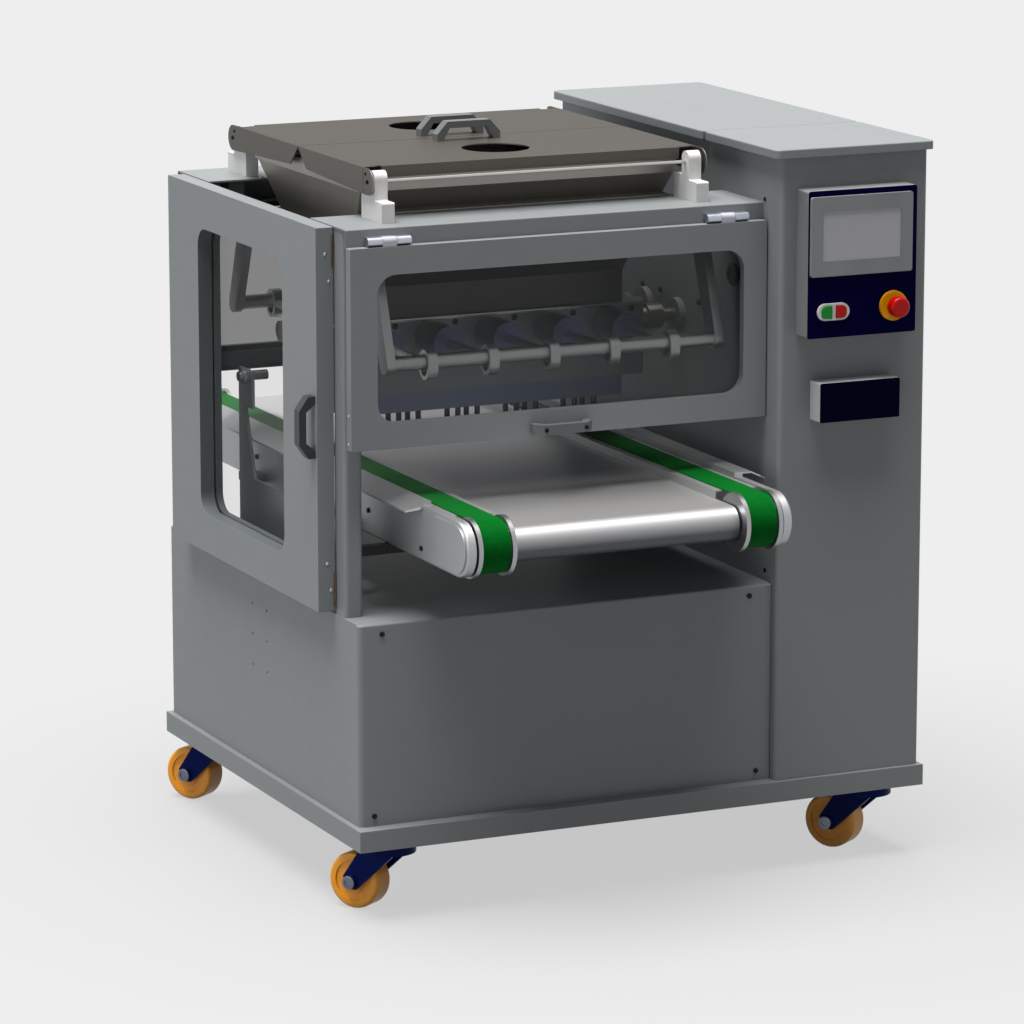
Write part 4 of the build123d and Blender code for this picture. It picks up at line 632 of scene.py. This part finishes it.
# Doors: folded pans in the body coat, hung on zinc hinges, with acrylic panes set in from behind.
# The side pane is nearly clear, the flap panes are smoke grey; the flaps carry zinc hinge knuckles.
# Nylon bridge handles are screwed on, and small zinc screws close the folded edges.
def acrylic(name, colour, cover, shine):
    """Acrylic pane: thin tint, sharp gloss and faint wiping marks."""
    material, shader, place = blank(name)
    shader.inputs["Base Color"].default_value = colour
    shader.inputs["Alpha"].default_value = cover
    shader.inputs["IOR"].default_value = 1.49
    shader.inputs["Specular IOR Level"].default_value = shine
    wipe = noise(material, place, 6.0, 6.0, (1.0, 1.0, 4.0))
    shade_by(material, wipe, 0.03, 0.10, shader.inputs["Roughness"])
    return material


zinc_grey = tone(176, 181, 192)
reveal_shade_grey = tone(92, 98, 100)
smoke = tone(44, 50, 52)
side_coat = powder_coat("side_door_coat", body_grey)
# Painted shade: the reveal around the side pane is toned dark, like the shaded interior behind it.
side_reveal_shade = inside(side_coat, X=(-0.5455, -0.50), Y=(-0.1873, 0.2153), Z=(0.5997, 1.1213))
overlay(side_coat, side_reveal_shade, reveal_shade_grey)
flap_coat = powder_coat("flap_door_coat", body_grey)
# Painted shade: the reveals around both flap panes are toned dark, like the shaded interior behind them.
for opening_depth in ((-0.4145, -0.39), (0.39, 0.4145)):
    flap_reveal_shade = inside(flap_coat, X=(-0.4653, 0.2313), Y=opening_depth, Z=(0.8647, 1.1198))
    overlay(flap_coat, flap_reveal_shade, reveal_shade_grey)
knuckle_heights = (1.1685, 1.3)
overlay(flap_coat, inside(flap_coat, Z=knuckle_heights), zinc_grey)
zinc = satin_metal("zinc_plate", zinc_grey, 0.34, stroke=(90.0, 90.0, 90.0))
dark_nylon = moulded("dark_nylon", tone(56, 58, 62))
dress(side_coat, "side_door_panel")
dress(flap_coat, "front_door_panel", "rear_door_panel")
dress(acrylic("side_acrylic", tone(60, 64, 66), 0.08, 0.15), "side_door_window")
dress(acrylic("smoke_acrylic", smoke, 0.24, 0.40), "front_door_window")
dress(acrylic("dark_smoke_acrylic", smoke, 0.46, 0.40), "rear_door_window")
dress(zinc, "door_hinges")
dress(dark_nylon, "side_door_handle")
dress(grey_nylon, "front_door_handle", "rear_door_handle")
side_door_front = -340
flap_left = -540
flap_edge = 403
handle_face = 445
handle_height = 835
fit_copies(small_head, "side_door_screw", zinc, "side_door", (0, -1, 0),
           [(x, side_door_front, z) for x, z in ((-555, 1150), (-548, 1103), (-555, 613), (-548, 566))])
for door, side in (("front_door", -1), ("rear_door", 1)):
    fit_copies(small_head, f"{door}_edge_screw", zinc, door, (-1, 0, 0),
               [(flap_left, side * flap_edge, z) for z in (880, 832)])
    fit_copies(plain_head, f"{door}_handle_screw", black_oxide, door, (0, side, 0),
               [(x, side * handle_face, handle_height) for x in (-189, -113)])

# Door catches: two brass strips on the front edge of the side door, above and below its handle.
# Each is a short pressed strip with rounded edges, fixed to the folded flange.
brass = satin_metal("catch_brass", tone(122, 100, 74), 0.40, stroke=(300.0, 300.0, 4.0))
catch_x = -543.0
catch_y = -340.9
catch_width = 0.0034
catch_thickness = 0.0018
for count, (catch_low, catch_high) in enumerate(((1128.0, 1184.0), (538.0, 598.0)), 1):
    catch_length = (catch_high - catch_low) / 1000.0
    catch = pressed_strip(at(catch_x, catch_y, (catch_low + catch_high) / 2),
                          (catch_width, catch_thickness, catch_length), 0.0005)
    settle(catch, f"side_door_catch_{count}", brass, "side_door")

# Controls: a shallow coated cover on the cabinet front with a touch panel and push buttons.
# Its face is a dark navy film; the emergency stop stands on a yellow collar.
# A pale coated box with a dark face sits below the cover.
cover_face = (-0.6, -0.5022)
cover_coat = powder_coat("control_cover_coat", tone(120, 124, 127), shine=0.02)
overlay(cover_coat, inside(cover_coat, Y=cover_face), tone(3, 3, 50))
dress(cover_coat, "control_box")
plate_face = (-0.6, -0.4972)
plate_coat = powder_coat("nameplate_coat", tone(176, 180, 184), shine=0.02)
overlay(plate_coat, inside(plate_coat, Y=plate_face), tone(3, 3, 32))
dress(plate_coat, "nameplate_box")
bezel_plastic = moulded("bezel_plastic", tone(131, 135, 139), 0.42)
dress(bezel_plastic, "hmi_bezel")
screen_glass, screen_shader, screen_place = blank("touch_screen")
screen_shader.inputs["Roughness"].default_value = 0.18
screen_cloud = noise(screen_glass, screen_place, 4.0, 2.0)
shade_by(screen_glass, screen_cloud, tone(160, 163, 168), tone(166, 169, 174),
         screen_shader.inputs["Base Color"])
dress(screen_glass, "hmi_screen")
dress(white_block, "button_surround")
dress(moulded("start_green", tone(18, 132, 50), 0.28), "start_button")
dress(moulded("stop_red", tone(178, 4, 10), 0.28), "stop_button", "estop_button")
dress(moulded("collar_yellow", tone(224, 152, 16), 0.4), "estop_collar")

# The cap and the heads that were copied are taken away again.
for master in (cap, small_head, plain_head, clamp_head):
    bpy.data.objects.remove(master)
